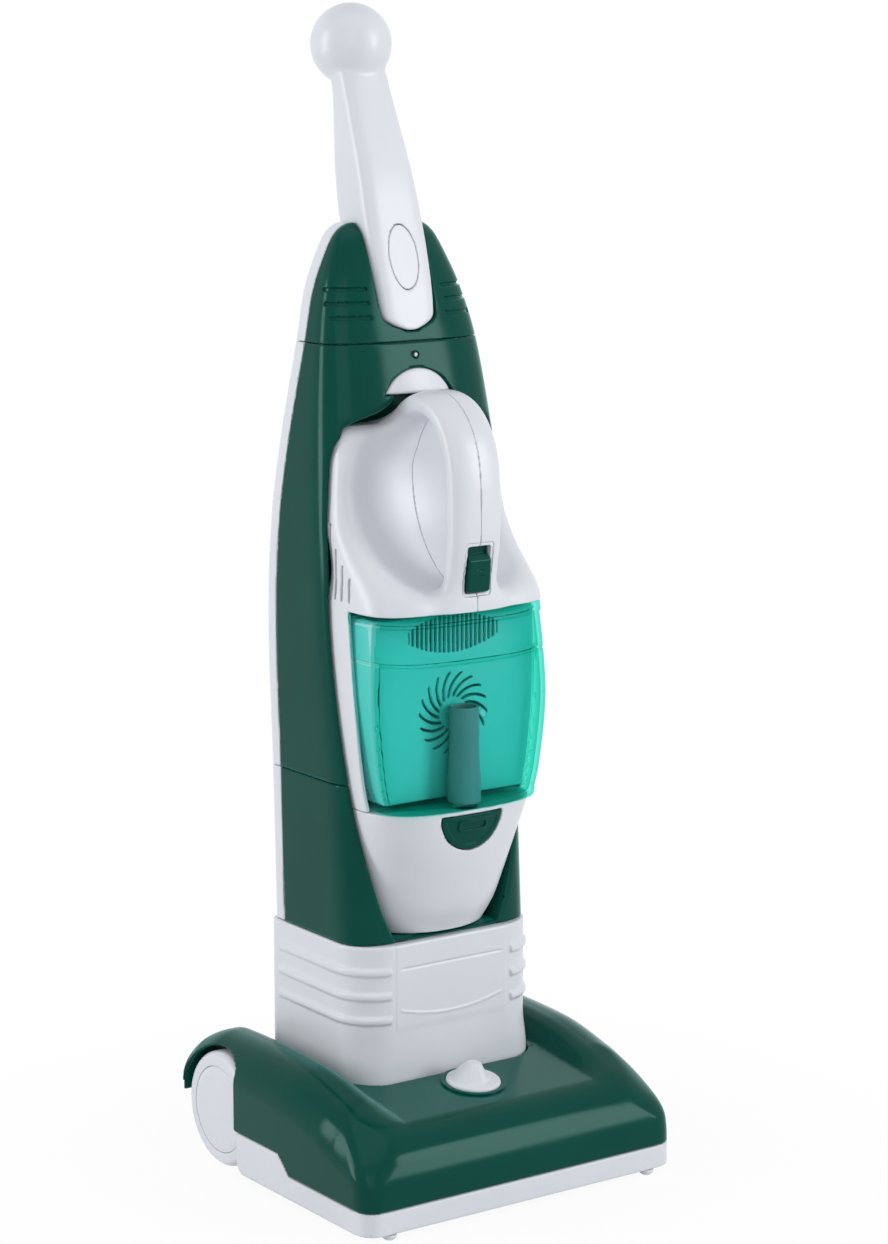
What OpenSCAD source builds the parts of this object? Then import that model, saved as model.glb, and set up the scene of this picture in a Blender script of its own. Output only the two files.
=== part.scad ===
// Toy upright vacuum cleaner with a hand vacuum docked in its front.
// Millimetres, +Z up, front towards -Y, origin on the floor under the middle of the base.

/* [Base] */
// Width of the base
base_w = 204; // [196:1:212]
// Reach of the base in front of the origin
base_front = 93; // [90:1:96]
// Reach of the fenders behind the origin
base_tail = 93; // [91:1:95]
// Height of the pan's underside above the floor
pan_z = 3; // [2.5:0.5:4]
// Height of the line between pan and cover at the front
line_z = 16.3; // [14:0.1:19]
// Height of that line beside the wheels
line_rear_z = 26; // [24:0.5:28]
// Height of the cheeks' crown
crown_z = 72.5; // [70:0.5:75]
// Height of the middle plate at the knob
plate_z = 56.5; // [55:0.5:58]
// Slope of the middle plate in degrees
plate_slope = 6.8; // [6:0.2:7.6]
// Half the width of the middle plate
plate_half = 62; // [61.8:0.1:64]
// Wall of the base cover
cover_wall = 2.5; // [2:0.1:3]
// Wall of the base pan
pan_wall = 2.5; // [2:0.1:3]
// Corner radius of the base in plan
base_corner = 12; // [10:0.5:14]

/* [Wheels] */
// Radius of a rear wheel
wheel_r = 32; // [31:0.1:33]
// Width of a rear wheel
wheel_w = 16.5; // [15:0.1:17]
// Distance of the wheels' inner faces from the sides of the base
wheel_inset = 20; // [19.6:0.1:20.5]
// Radius of the axle
axle_r = 3; // [2.5:0.1:3.5]
// Place of the axle behind the origin
axle_y = 57.4; // [56:0.1:58]
// Running clearance of every turning fit
fit = 0.05; // [0.03:0.01:0.08]

/* [Height knob] */
// Radius of the knob's disc
knob_r = 15; // [14:0.1:16]
// Height of the knob's ridge above its disc
knob_ridge = 7; // [5:0.5:9]
// Radius of the knob's shaft
knob_shaft_r = 4; // [3.5:0.1:4.5]
// Distance of the knob in front of the origin
knob_y = 45; // [42:0.5:48]

/* [Collar] */
// Width of the collar under the upright
collar_w = 118; // [116:0.5:119]
// Reach of the collar's front in front of the origin
collar_front = 25; // [24:0.5:25.5]
// Reach of the collar's back behind the origin
collar_back = 66.5; // [65:0.5:68]
// Height of the collar's top edge
collar_top = 134; // [133:0.5:135]
// Wall of the collar
collar_wall = 2.4; // [2:0.1:3]
// How far the collar's ribs stand proud
rib_proud = 1.4; // [1:0.1:1.6]
// Thickness of each of the two pivot lugs
lug_w = 11; // [9:0.5:12]

/* [Upright] */
// Height of the seam between the lower and the main shells
seam_low = 221; // [218:0.5:224]
// Height of the seam below the cap
seam_cap = 453; // [451:0.5:455]
// Height of the cap's two horns
horn_top = 514; // [511:0.5:517]
// Width of the shells at the collar
foot_w = 117; // [116:0.5:118]
// Width of the shells at the belly
belly_w = 120; // [119.4:0.2:122]
// Width of the shells at the cap's seam
cap_w = 100; // [98:0.5:102]
// Width over the horns
horn_w = 57; // [55:0.5:59]
// Depth of the white rear shells behind the green ones
rear_depth = 14.5; // [12:0.5:16]
// Wall of the shells
shell_wall = 2.2; // [1.8:0.1:2.2]
// Gap at the seams between shells
seam_gap = 0.3; // [0.2:0.05:0.4]

/* [Handle] */
// Height of the ball's centre above the horns
handle_reach = 94; // [90:0.5:98]
// Radius of the ball on the handle
ball_r = 22; // [20:0.1:23]
// Place of the ball behind the origin
ball_y = 68.8; // [66:0.1:70]
// Width of the handle where it leaves the cap
handle_w = 36.6; // [34:0.2:37]
// Height of the handle's lower tip
handle_foot = 459; // [458:0.5:461]
// Wall of the handle halves
handle_wall = 2.6; // [2:0.1:3]
// Gap between the handle and its slot in the cap
slot_gap = 0.6; // [0.4:0.1:0.8]

/* [Hand vacuum] */
// Largest width of the hand vacuum
hand_w = 112; // [110:0.5:112.4]
// Reach of the hand vacuum's back behind the origin
hand_back = 29.5; // [28:0.5:30]
// Width of the nozzle's mouth
nose_w = 66; // [63:0.5:68]
// Gap between the hand vacuum and its dock
dock_gap = 0.6; // [0.5:0.05:0.7]
// Wall of the hand vacuum's shells
hand_wall = 2.2; // [1.8:0.1:2.6]
// Half the width of the loop handle
loop_half = 15.5; // [14:0.5:17]
// Half the depth of the loop handle
loop_deep = 6.6; // [6:0.2:8]

/* [Dust bin] */
// Height of the bin's underside
bin_z0 = 208.8; // [208.6:0.1:209.4]
// Height of the bin's top
bin_z1 = 315; // [313:0.5:315.2]
// Largest width of the bin
bin_w = 112; // [108:0.5:112]
// Wall of the bin
bin_wall = 2.2; // [1.8:0.1:2.6]
// Radius of the round hole in the bin's front
bin_hole_r = 2.6; // [2:0.1:3.5]

/* [Buttons] */
// Height of the release button's circle centre
release_z = 415.2; // [414:0.1:416]
// Radius of the release button's round edge
release_r = 23.7; // [23:0.1:24.4]
// Travel of the release button
release_travel = 3; // [2:0.5:3.5]
// Radius of the bin latch's round edge
latch_r = 19.4; // [18:0.1:20]
// Height of the bin latch's flat edge
latch_z = 205.4; // [204.5:0.1:206]
// Travel of the bin latch
latch_travel = 2; // [1.5:0.5:2.5]
// Half the width of the power switch
switch_half = 5.8; // [5:0.1:6.5]
// Height of the power switch
switch_h = 20; // [18:0.5:22]
// Travel of the power switch
switch_travel = 4; // [3:0.5:5]
// Gap round each button
button_gap = 0.35; // [0.3:0.05:0.5]

/* [Hidden] */
$fn = 48;

green = [0.02, 0.27, 0.21];
white = [0.87, 0.88, 0.91];
teal = [0.1, 0.75, 0.6, 0.6];
grey = [0.5, 0.5, 0.55];
steel = [0.7, 0.7, 0.72];

// Contact allowance between pieces that sit together without touching
seat = 0.2;
// Points on a quarter of a section
quarter_steps = 6;

axle_z = wheel_r;
base_half = base_w / 2;
wheel_in = base_half - wheel_inset;
collar_half = collar_w / 2;
knob_at = [0, -knob_y, plate_z];

// Numbers between two values, and smooth curves through the rows of a table

function mix(a, b, t) = a + (b - a) * t;

function row_at(rows, z, i = 0) =
    (i >= len(rows) - 2 || z < rows[i + 1][0]) ? i : row_at(rows, z, i + 1);

function rate(rows, i, c) =
    let (a = max(i - 1, 0), b = min(i + 1, len(rows) - 1))
    (rows[b][c] - rows[a][c]) / (rows[b][0] - rows[a][0]);

function curve(rows, z, c) =
    let (
        i = row_at(rows, z),
        h = rows[i + 1][0] - rows[i][0],
        t = min(max((z - rows[i][0]) / h, 0), 1),
        a = rows[i][c],
        b = rows[i + 1][c],
        p = rate(rows, i, c) * h,
        q = rate(rows, i + 1, c) * h
    )
    a + t * (p + t * (3 * (b - a) - 2 * p - q + t * (2 * (a - b) + p + q)));

// A rounded quarter section, from its side to its front, with squareness n
function quarter(w, d, n) =
    [for (i = [0:quarter_steps])
        let (t = 90 * i / quarter_steps)
        [w * pow(cos(t), 2 / n), d * pow(sin(t), 2 / n)]];

function backwards(list) = [for (i = [len(list) - 1:-1:0]) list[i]];

function mirrored(list) = [for (p = list) [-p[0], p[1]]];

function tail(list) = [for (i = [1:len(list) - 1]) list[i]];

function lift(path, z) = [for (p = path) [p[0], p[1], z]];

// Solids made from stacked outlines

function quad(a, b, c, d) = [[a, b, c], [a, c, d]];

// A closed solid from rings that run counterclockwise seen from +Z, with a middle point in each end
module skin(rings, caps = []) {
    n = len(rings[0]);
    m = len(rings);
    low = n * m;
    high = low + 1;
    middle = function (ring) [for (k = [0:2]) [for (p = ring) p[k]] * [for (p = ring) 1 / n]];
    ends = len(caps) == 2 ? caps : [middle(rings[0]), middle(rings[m - 1])];
    points = concat([for (r = rings) each r], ends);
    sides = [for (j = [0:m - 2], i = [0:n - 1])
        let (k = (i + 1) % n)
        each quad(j * n + i, (j + 1) * n + i, (j + 1) * n + k, j * n + k)];
    floor_faces = [for (i = [0:n - 1]) [low, i, (i + 1) % n]];
    roof_faces = [for (i = [0:n - 1]) [high, (m - 1) * n + (i + 1) % n, (m - 1) * n + i]];
    polyhedron(points = points, faces = concat(sides, floor_faces, roof_faces));
}

// A thin wall between outer and inner paths that run counterclockwise seen from +Z
module band(outer, inner) {
    n = len(outer[0]);
    m = len(outer);
    s = n * m;
    e = n - 1;
    points = concat([for (r = outer) each r], [for (r = inner) each r]);
    walls = [for (j = [0:m - 2], i = [0:n - 2])
        let (a = j * n + i, b = a + n)
        each concat(quad(a, b, b + 1, a + 1), quad(s + a, s + a + 1, s + b + 1, s + b))];
    rims = [for (i = [0:n - 2])
        let (t = (m - 1) * n + i)
        each concat(quad(i, i + 1, s + i + 1, s + i), quad(t + 1, t, s + t, s + t + 1))];
    ends = [for (j = [0:m - 2])
        let (a = j * n, b = a + n)
        each concat(quad(b, a, s + a, s + b), quad(a + e, b + e, s + b + e, s + a + e))];
    polyhedron(points = points, faces = concat(walls, rims, ends));
}

// An outline in x and z, extruded from y0 to y1
module along_y(y0, y1) {
    translate([0, y1, 0]) rotate([90, 0, 0]) linear_extrude(height = y1 - y0) children();
}

// An outline in y and z, extruded from x0 to x1
module along_x(x0, x1) {
    translate([x0, 0, 0]) rotate([90, 0, 90]) linear_extrude(height = x1 - x0) children();
}

module rod_x(x0, x1, r, y, z) {
    translate([x0, y, z]) rotate([0, 90, 0]) cylinder(r = r, h = x1 - x0);
}

module rod_y(y0, y1, r, x, z) {
    translate([x, y0, z]) rotate([-90, 0, 0]) cylinder(r = r, h = y1 - y0);
}

module both_sides() {
    children();
    mirror([1, 0, 0]) children();
}

module on_plate() {
    translate(knob_at) rotate([plate_slope, 0, 0]) children();
}

// Base

roll_depth = 20;
roll_y = roll_depth - base_front;
roll_edge_z = 33;
slot_half = collar_half + 2;
slot_front = -collar_front - 1.2;
ramp_y0 = -18.4;
ramp_y1 = -7.5;
wheel_front_y = axle_y - 17.4;
arch_r = wheel_r + 3;
tip_z = 34;

// Height share of the rounded front, 1 behind it and 0 at the front face
function roll(y, e) =
    y > roll_y ? 1 : sqrt(max(0, 1 - pow((roll_y - y) / (roll_depth - e), 2)));

function rolled(z, y, e) = roll_edge_z + (z - e - roll_edge_z) * roll(y, e);

function crown_at(y, e) =
    let (rows = [
        [roll_y, crown_z - 13.5],
        [-knob_y, crown_z - 6.5],
        [ramp_y1, crown_z - 0.5],
        [axle_y + 11, crown_z],
        [base_tail - 5, crown_z - 7],
        [base_tail, crown_z - 11]
    ])
    rolled(curve(rows, max(y, roll_y), 1), y, e);

function plate_at(y, e) =
    rolled(plate_z + tan(plate_slope) * (min(max(y, roll_y), -20) + knob_y), y, e);

function half_at(y, e) =
    let (c = base_corner - e, back = max(0, base_corner - base_front - y))
    base_half - base_corner + sqrt(max(0, c * c - back * back)) - max(0, y - base_tail + 4) * 0.4;

function cover_half_ring(y, e) =
    let (
        w = half_at(y, e),
        top = crown_at(y, e),
        plate = plate_at(y, e),
        side = line_z + (top - line_z) * 0.45,
        crest = min(plate_half + 20, w - 4)
    )
    concat(
        [[w, line_z - (e > 0 ? 1 : 0)]],
        [for (q = quarter(w - crest, top - side, 2.4)) [crest + q[0], side + q[1]]],
        [
            [plate_half + e + 9, top - 0.6],
            [plate_half + e + 1.5, mix(plate, top, 0.3)],
            [plate_half + e, plate],
            [plate_half / 2, plate]
        ]
    );

function cover_ring(y, e) =
    let (right = cover_half_ring(y, e))
    lift(concat(right, mirrored(backwards(right))), -y);

module cover_hull(stations, e) {
    ends = [for (y = [stations[0], stations[len(stations) - 1]]) [0, line_z + 1, -y]];
    rotate([90, 0, 0]) skin([for (y = stations) cover_ring(y, e)], ends);
}

module base_cover() {
    back = [base_tail, base_tail - 3, base_tail - 13, axle_y + 11, 20, ramp_y1, -knob_y];
    front = [for (t = [0, 0.35, 0.65, 0.85, 0.96, 1]) roll_y - roll_depth * t];
    inner_front = [for (t = [0, 0.4, 0.7, 0.9, 1]) roll_y - (roll_depth - cover_wall) * t];
    color(green)
    difference() {
        cover_hull(concat(back, front), 0);
        cover_hull(concat([base_tail + 1], tail(back), inner_front), cover_wall);
        translate([-slot_half, slot_front, 0]) cube([2 * slot_half, base_front + base_tail, 150]);
        along_x(-base_half - 1, base_half + 1)
            polygon([
                [ramp_y0, line_z - 5],
                [ramp_y0, line_z],
                [ramp_y1, line_rear_z],
                [wheel_front_y + 20, line_rear_z],
                [wheel_front_y + 20, tip_z],
                [base_tail + 9, tip_z],
                [base_tail + 9, line_z - 5]
            ]);
        both_sides()
            intersection() {
                rod_x(wheel_in + 8, base_half + 9, arch_r, axle_y, axle_z);
                translate([wheel_in, wheel_front_y, 0]) cube([40, 90, 150]);
            }
        both_sides()
            rod_x(wheel_in - 1, wheel_in + wheel_w + 0.6, wheel_r + 0.8, axle_y, axle_z);
        on_plate() translate([0, 0, -12]) cylinder(r = 2 * knob_shaft_r + seat, h = 24);
    }
}

pan_back = wheel_front_y - 2;
deck_half = wheel_in - 4;
deck_back = base_tail - 5;
well_front = axle_y - wheel_r - 3;
bracket_w = 6;

module pan_plan(e) {
    r = base_corner - e;
    x = base_half - base_corner;
    y = base_corner - base_front;
    translate([-base_half + e, y]) square([base_w - 2 * e, pan_back - e - y]);
    translate([-x, y - r]) square([2 * x, r + 1]);
    translate([-x, y]) circle(r = r);
    translate([x, y]) circle(r = r);
}

module pan_side_view() {
    polygon([
        [-base_front - 1, 0],
        [-base_front - 1, line_z],
        [ramp_y0, line_z],
        [ramp_y1, line_rear_z],
        [pan_back + 1, line_rear_z],
        [pan_back + 1, 0]
    ]);
}

module base_pan() {
    color(white)
    difference() {
        union() {
            translate([0, 0, pan_z]) linear_extrude(height = pan_wall) pan_plan(0);
            intersection() {
                difference() {
                    translate([0, 0, pan_z]) linear_extrude(height = 40) pan_plan(0);
                    translate([0, 0, pan_z - 1]) linear_extrude(height = 42) pan_plan(pan_wall);
                }
                along_x(-base_half - 1, base_half + 1) pan_side_view();
            }
            translate([-deck_half, pan_back - 5, pan_z])
                cube([2 * deck_half, deck_back - pan_back + 5, pan_wall]);
            both_sides()
                translate([deck_half - bracket_w, pan_back - 5, pan_z])
                    cube([bracket_w, deck_back - pan_back + 5, axle_z + 8 - pan_z]);
            translate([-deck_half, deck_back - pan_wall, pan_z]) cube([2 * deck_half, pan_wall, 11]);
        }
        both_sides()
            translate([deck_half, well_front, 0])
                cube([base_half - pan_wall - deck_half, 120, 80]);
        rod_x(-base_half, base_half, axle_r + fit, axle_y, axle_z);
    }
}

glide_r = 4;
glide_at = [base_half - 17, base_corner - 8 - base_front];

module front_glides() {
    color(white)
    both_sides()
        translate([glide_at[0], glide_at[1], 0])
            rotate_extrude()
                polygon([[0, 0], [glide_r - 1.4, 0], [glide_r, 1.4], [glide_r, pan_z], [0, pan_z]]);
}

module axle() {
    reach = wheel_in + wheel_w - 5;
    color(steel) rod_x(-reach, reach, axle_r, axle_y, axle_z);
}

screw_r = 1.5;

module pan_screws() {
    color(steel)
    both_sides()
        for (y = [-base_front + 24, 0])
            translate([base_half - 22, y, pan_z - 1.2]) cylinder(r = 2 * screw_r, h = 1.2);
}

// Wheels

hub_r = 24;
hub_deep = 1.6;

module wheel() {
    face = wheel_w;
    rotate([0, 90, 0])
        rotate_extrude()
            polygon([
                [axle_r + fit, 0],
                [wheel_r - 2.5, 0],
                [wheel_r, 2],
                [wheel_r, face - 2],
                [wheel_r - 2, face],
                [hub_r + seat, face],
                [hub_r + seat, face - hub_deep],
                [axle_r + fit, face - hub_deep]
            ]);
}

module hub_cap() {
    rotate([0, 90, 0])
        rotate_extrude()
            polygon([[0, 0], [hub_r, 0], [hub_r, hub_deep - 0.4], [hub_r - 0.5, hub_deep], [0, hub_deep + 0.3]]);
}

module wheel_right() {
    color(white) translate([wheel_in, axle_y, axle_z]) wheel();
}

module wheel_left() {
    mirror([1, 0, 0]) wheel_right();
}

module hub_cap_right() {
    color(white) translate([wheel_in + wheel_w - hub_deep, axle_y, axle_z]) hub_cap();
}

module hub_cap_left() {
    mirror([1, 0, 0]) hub_cap_right();
}

// Height knob, drawn on the sloping plate

ring_h = 1.2;
ring_floor = 0.3;
bush_l = 7.7;

module knob_ring() {
    color(green)
    on_plate()
        difference() {
            union() {
                cylinder(r = knob_r + 2.8, h = ring_h);
                translate([0, 0, -bush_l]) cylinder(r = 2 * knob_shaft_r, h = bush_l + 0.1);
            }
            translate([0, 0, ring_floor]) cylinder(r = knob_r + 0.4, h = ring_h);
            translate([0, 0, -bush_l - 1]) cylinder(r = knob_shaft_r + fit, h = bush_l + 9);
        }
}

knob_low = ring_floor + 0.3;
shaft_l = bush_l + 0.3;

module height_knob() {
    color(white)
    on_plate()
        difference() {
            union() {
                translate([0, 0, knob_low]) cylinder(r = knob_r, h = 2.2);
                translate([0, 0, -shaft_l]) cylinder(r = knob_shaft_r, h = shaft_l + knob_low + 1);
                hull() {
                    translate([0, 0, knob_low + 1.2]) cylinder(r = knob_r - 2, h = 1, $fn = 32);
                    for (y = [-6, 6])
                        translate([0, y, knob_low + 2.2 + knob_ridge - 1.5]) sphere(r = 1.5, $fn = 16);
                }
            }
            translate([0, 0, -shaft_l - 1]) cylinder(r = screw_r - 0.25, h = 8);
        }
}

module knob_screw() {
    color(steel)
    on_plate() {
        translate([0, 0, -shaft_l - 1.4]) cylinder(r = 1.4 * knob_shaft_r, h = 1.4);
        translate([0, 0, -shaft_l - 0.1]) cylinder(r = screw_r - 0.3, h = 6);
    }
}

// Collar, which turns on the axle

collar_low = 46;
collar_front_r = 19;
collar_back_r = 9;
panel_half = 39;
rib_h = 4.4;
rib_pitch = 13.2;
rib_low = 86.4;

module collar_plan(e) {
    w = collar_half - e;
    f = e - collar_front;
    b = collar_back - e;
    rf = collar_front_r - e;
    rb = collar_back_r - e;
    translate([-w, f + rf]) square([2 * w, b - rb - f - rf]);
    translate([-w + rf, f]) square([2 * (w - rf), rf + 1]);
    translate([-w + rb, b - rb - 1]) square([2 * (w - rb), rb + 1]);
    for (s = [-1, 1]) {
        translate([s * (w - rf), f + rf]) circle(r = rf);
        translate([s * (w - rb), b - rb]) circle(r = rb);
    }
}

module collar_ribs() {
    for (i = [0:2])
        translate([0, 0, rib_low + i * rib_pitch])
            linear_extrude(height = rib_h)
                difference() {
                    collar_plan(-rib_proud);
                    collar_plan(collar_wall / 2);
                    translate([-panel_half, -collar_front - 9]) square([2 * panel_half, 60]);
                    translate([-collar_w, collar_back - rear_depth]) square([2 * collar_w, 60]);
                }
}

module collar_lug() {
    lug_r = 9;
    reach = min(collar_half - 2, deck_half - bracket_w - 1);
    along_x(reach - lug_w, reach) {
        translate([axle_y, axle_z]) circle(r = lug_r);
        translate([axle_y - lug_r, axle_z]) square([2 * lug_r, collar_low + 1 - axle_z]);
    }
}

module collar() {
    color(white)
    difference() {
        union() {
            difference() {
                translate([0, 0, collar_low])
                    linear_extrude(height = collar_top - collar_low) collar_plan(0);
                translate([0, 0, collar_low + 3])
                    linear_extrude(height = collar_top) collar_plan(collar_wall);
            }
            collar_ribs();
            both_sides() collar_lug();
        }
        rod_x(-base_half, base_half, axle_r + fit, axle_y, axle_z);
    }
}

// Upright shells: rows of height, half width, front, back, start of the rounding, squareness

foot_front = -22;
belly_front = -13;
seam_front = 10;
horn_front = 31;
foot_back = 65.5;
belly_back = 69.5;
seam_back = 54.5;
horn_back = 55;
belly_z = 300;
rear_n = 5;
flank_z = mix(belly_z, seam_cap, 0.36);
shoulder_z = mix(belly_z, seam_cap, 0.65);
brow_z = mix(seam_cap, horn_top, 0.46);
tip_low_z = mix(seam_cap, horn_top, 0.77);

body_rows = [
    [collar_top, foot_w / 2, foot_front, foot_back, 12, 5],
    [seam_low, mix(foot_w, belly_w, 0.66) / 2, mix(foot_front, belly_front, 0.55), foot_back + 1.5, 16, 4.4],
    [belly_z, belly_w / 2, belly_front, belly_back, 24, 3.6],
    [flank_z, belly_w / 2 - 0.5, mix(belly_front, seam_front, 0.17), belly_back - 3, 28, 3.4],
    [shoulder_z, mix(belly_w, cap_w, 0.36) / 2, mix(belly_front, seam_front, 0.52), 61.5, 30, 3.3],
    [seam_cap, cap_w / 2, seam_front, seam_back, 33, 3.2],
    [brow_z, mix(cap_w, horn_w, 0.31) / 2, mix(seam_front, horn_front, 0.4), horn_back + 1, 36, 3],
    [tip_low_z, mix(cap_w, horn_w, 0.67) / 2, mix(seam_front, horn_front, 0.71), horn_back + 1, 38, 2.8],
    [horn_top, horn_w / 2, horn_front, horn_back, 39.5, 2.6]
];

function body_half(z) = curve(body_rows, z, 1);

function body_back(z) = curve(body_rows, z, 3);

function parting(z) = body_back(z) - rear_depth;

function front_path(z, e, past = 0) =
    let (
        w = body_half(z) - e,
        m = curve(body_rows, z, 4),
        left = concat(
            [[-w, parting(z) + past]],
            [for (q = quarter(w, m - curve(body_rows, z, 2) - e, curve(body_rows, z, 5)))
                [-q[0], m - q[1]]]
        )
    )
    concat(left, tail(mirrored(backwards(left))));

function rear_path(z, e) =
    let (
        w = body_half(z) - e,
        p = parting(z),
        right = [for (q = quarter(w, rear_depth - e, rear_n)) [q[0], p + q[1]]]
    )
    concat(right, tail(mirrored(backwards(right))));

module front_band(stations) {
    band([for (z = stations) lift(front_path(z, 0), z)],
         [for (z = stations) lift(front_path(z, shell_wall), z)]);
}

module rear_band(stations) {
    band([for (z = stations) lift(rear_path(z, 0), z)],
         [for (z = stations) lift(rear_path(z, shell_wall), z)]);
}

lower_stations = [collar_top + seam_gap, 155, 178, 200, seam_low - seam_gap / 2];
main_stations = [
    seam_low + seam_gap / 2, 250, 280, 310, 340, 370, 395, 415, 432, seam_cap - seam_gap / 2
];
cap_stations = [seam_cap + seam_gap / 2, 466, brow_z, 491, tip_low_z, 508, horn_top];

module lower_front_shell() {
    color(green)
    difference() {
        front_band(lower_stations);
        dock_space();
    }
}

module main_front_shell() {
    color(green)
    difference() {
        front_band(main_stations);
        dock_space();
        along_y(-30, 25) release_outline(button_gap);
        rod_y(-30, 40, lens_r + fit, 0, lens_z);
    }
}

module lower_rear_shell() {
    color(white)
    difference() {
        rear_band(lower_stations);
        screw_holes(lower_screw_z);
    }
}

module main_rear_shell() {
    color(white)
    difference() {
        rear_band(main_stations);
        screw_holes(main_screw_z);
    }
}

// The handle's front outline, widened by the gap, is the slot that it leaves in the cap
function slot_points(e) =
    let (right = concat(
        [[handle_rows[0][1] + slot_gap + e, handle_foot - 2 * seat - e]],
        [for (r = tail(handle_rows)) if (r[0] < horn_top) [r[1] + slot_gap + e, r[0]]],
        [[handle_half + slot_gap + e, ball_z]]
    ))
    concat(right, mirrored(backwards(right)));

module handle_slot(e) {
    along_y(-40, 120) polygon(slot_points(e));
}

module cap_front() {
    inner = [seam_cap - 1, 466, brow_z, 491, tip_low_z];
    color(green)
    difference() {
        skin([for (z = cap_stations) lift(front_path(z, 0), z)]);
        handle_slot(0);
        difference() {
            skin([for (z = inner) lift(front_path(z, shell_wall, 1), z)]);
            handle_slot(shell_wall);
        }
    }
}

module cap_rear() {
    notch_half = handle_w / 2 + slot_gap;
    color(white)
    difference() {
        rear_band(cap_stations);
        translate([-notch_half, 0, tip_low_z - 8]) cube([2 * notch_half, 200, 200]);
    }
}

// Screws that hold the rear shells

back_screw_x = 40;
head_r = 3.4;
lower_screw_z = [165];
main_screw_z = [300, 415];

function back_at(x, z) =
    parting(z) + rear_depth * pow(1 - pow(x / body_half(z), rear_n), 1 / rear_n);

module screw_holes(heights) {
    for (z = heights, s = [-1, 1])
        rod_y(parting(z) - 20, body_back(z) + 20, head_r + seat, s * back_screw_x, z);
}

module body_screws() {
    color(steel)
    for (z = concat(lower_screw_z, main_screw_z), s = [-1, 1]) {
        y = back_at(back_screw_x, z) - shell_wall;
        rod_y(y - 0.4, y + 1.2, head_r, s * back_screw_x, z);
        rod_y(y - 14, y, screw_r, s * back_screw_x, z);
    }
}

// Handle: rows of height, half width, front, back, squareness

ball_z = horn_top + handle_reach;
handle_half = handle_w / 2;
neck_half = 14.6;

handle_rows = [
    [handle_foot, handle_half - 13.8, 10.5, 43, 4],
    [handle_foot + 2.5, handle_half - 7, 11, 44, 5],
    [handle_foot + 5.5, handle_half - 2.6, 11.6, 45, 6],
    [handle_foot + 9.5, handle_half - 1.3, 12.3, 46, 6.5],
    [handle_foot + 23, handle_half - 0.6, 15, 48, 6.5],
    [handle_foot + 41, handle_half - 0.1, 20, 51.5, 6.5],
    [handle_foot + 57, handle_half, 24.7, 57.5, 6],
    [mix(horn_top, ball_z, 0.29), handle_half - 1, 32.4, ball_y - 5.5, 5.5],
    [mix(horn_top, ball_z, 0.7), neck_half + 0.6, 47.4, ball_y - 0.5, 4],
    [ball_z - 12, neck_half, 53, ball_y + 4.5, 3]
];

// Left half of a section, counterclockwise, with its flat face reaching to x = past
function half_ring(w, front, back, n, past) =
    let (
        m = mix(front, back, 0.5),
        rear = backwards(quarter(w, back - m, n)),
        fore = quarter(w, m - front, n)
    )
    concat(
        [[past, back]],
        [for (q = tail(rear)) [-q[0], m + q[1]]],
        [for (i = [1:len(fore) - 2]) [-fore[i][0], m - fore[i][1]]],
        [[past, front]]
    );

function handle_ring(z, e, past) =
    lift(half_ring(
        curve(handle_rows, z, 1) - e,
        curve(handle_rows, z, 2) + e,
        curve(handle_rows, z, 3) - e,
        curve(handle_rows, z, 4),
        past
    ), z);

module half_ball(r) {
    translate([0, ball_y, ball_z])
        rotate([0, 0, 90]) rotate_extrude(angle = 180)
            intersection() {
                circle(r = r);
                translate([0, -r]) square([r, 2 * r]);
            }
}

inlay_z = 497;
inlay_half = [9, 17];
inlay_y = 25;

module inlay_outline(e) {
    r = (pow(inlay_half[0], 2) + pow(inlay_half[1], 2)) / (2 * inlay_half[0]);
    translate([0, inlay_z])
        intersection() {
            translate([r - inlay_half[0], 0]) circle(r = r + e);
            translate([inlay_half[0] - r, 0]) circle(r = r + e);
        }
}

module handle_left() {
    stations = [for (r = handle_rows) r[0]];
    inner = [for (z = tail(stations)) if (z < ball_z - 20) z];
    color(white)
    difference() {
        union() {
            skin([for (z = stations) handle_ring(z, 0, 0)]);
            half_ball(ball_r);
        }
        skin([for (z = inner) handle_ring(z, handle_wall, 1)]);
        translate([0, ball_y, ball_z]) sphere(r = ball_r - handle_wall);
        along_y(0, inlay_y) inlay_outline(seat);
    }
}

module handle_right() {
    mirror([1, 0, 0]) handle_left();
}

module handle_inlay() {
    color(white)
    intersection() {
        along_y(0, inlay_y - seat) inlay_outline(0);
        for (s = [0, 1])
            mirror([s, 0, 0])
                skin([for (z = [inlay_z - 20, inlay_z - 8, inlay_z + 4, inlay_z + 20]) handle_ring(z, 0, 1)]);
    }
}

// Release button and indicator above the dock

release_low = 426;
release_front = 3.6;
lens_r = 1.8;
lens_z = 446;

module release_outline(e) {
    intersection() {
        translate([0, release_z]) circle(r = release_r + e);
        translate([-40, release_low - e]) square([80, 60]);
    }
}

module release_button() {
    flange_y = curve(body_rows, release_z + release_r, 2) + shell_wall + 0.9;
    color(white) {
        along_y(release_front, flange_y + 0.1) release_outline(0);
        along_y(flange_y, flange_y + 1.4) intersection() {
            release_outline(1.4);
            translate([-40, release_low]) square([80, 60]);
        }
    }
}

module indicator_lens() {
    front = curve(body_rows, lens_z, 2) - 0.3;
    color([0.8, 0.95, 0.9]) rod_y(front, front + 8, lens_r, 0, lens_z);
}

// Hand vacuum: rows of height, half width, front, back, squareness

nose_z = 136.8;
hand_half = hand_w / 2;
hand_split = bin_z0 - 0.5;
hand_mid = 8;

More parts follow.
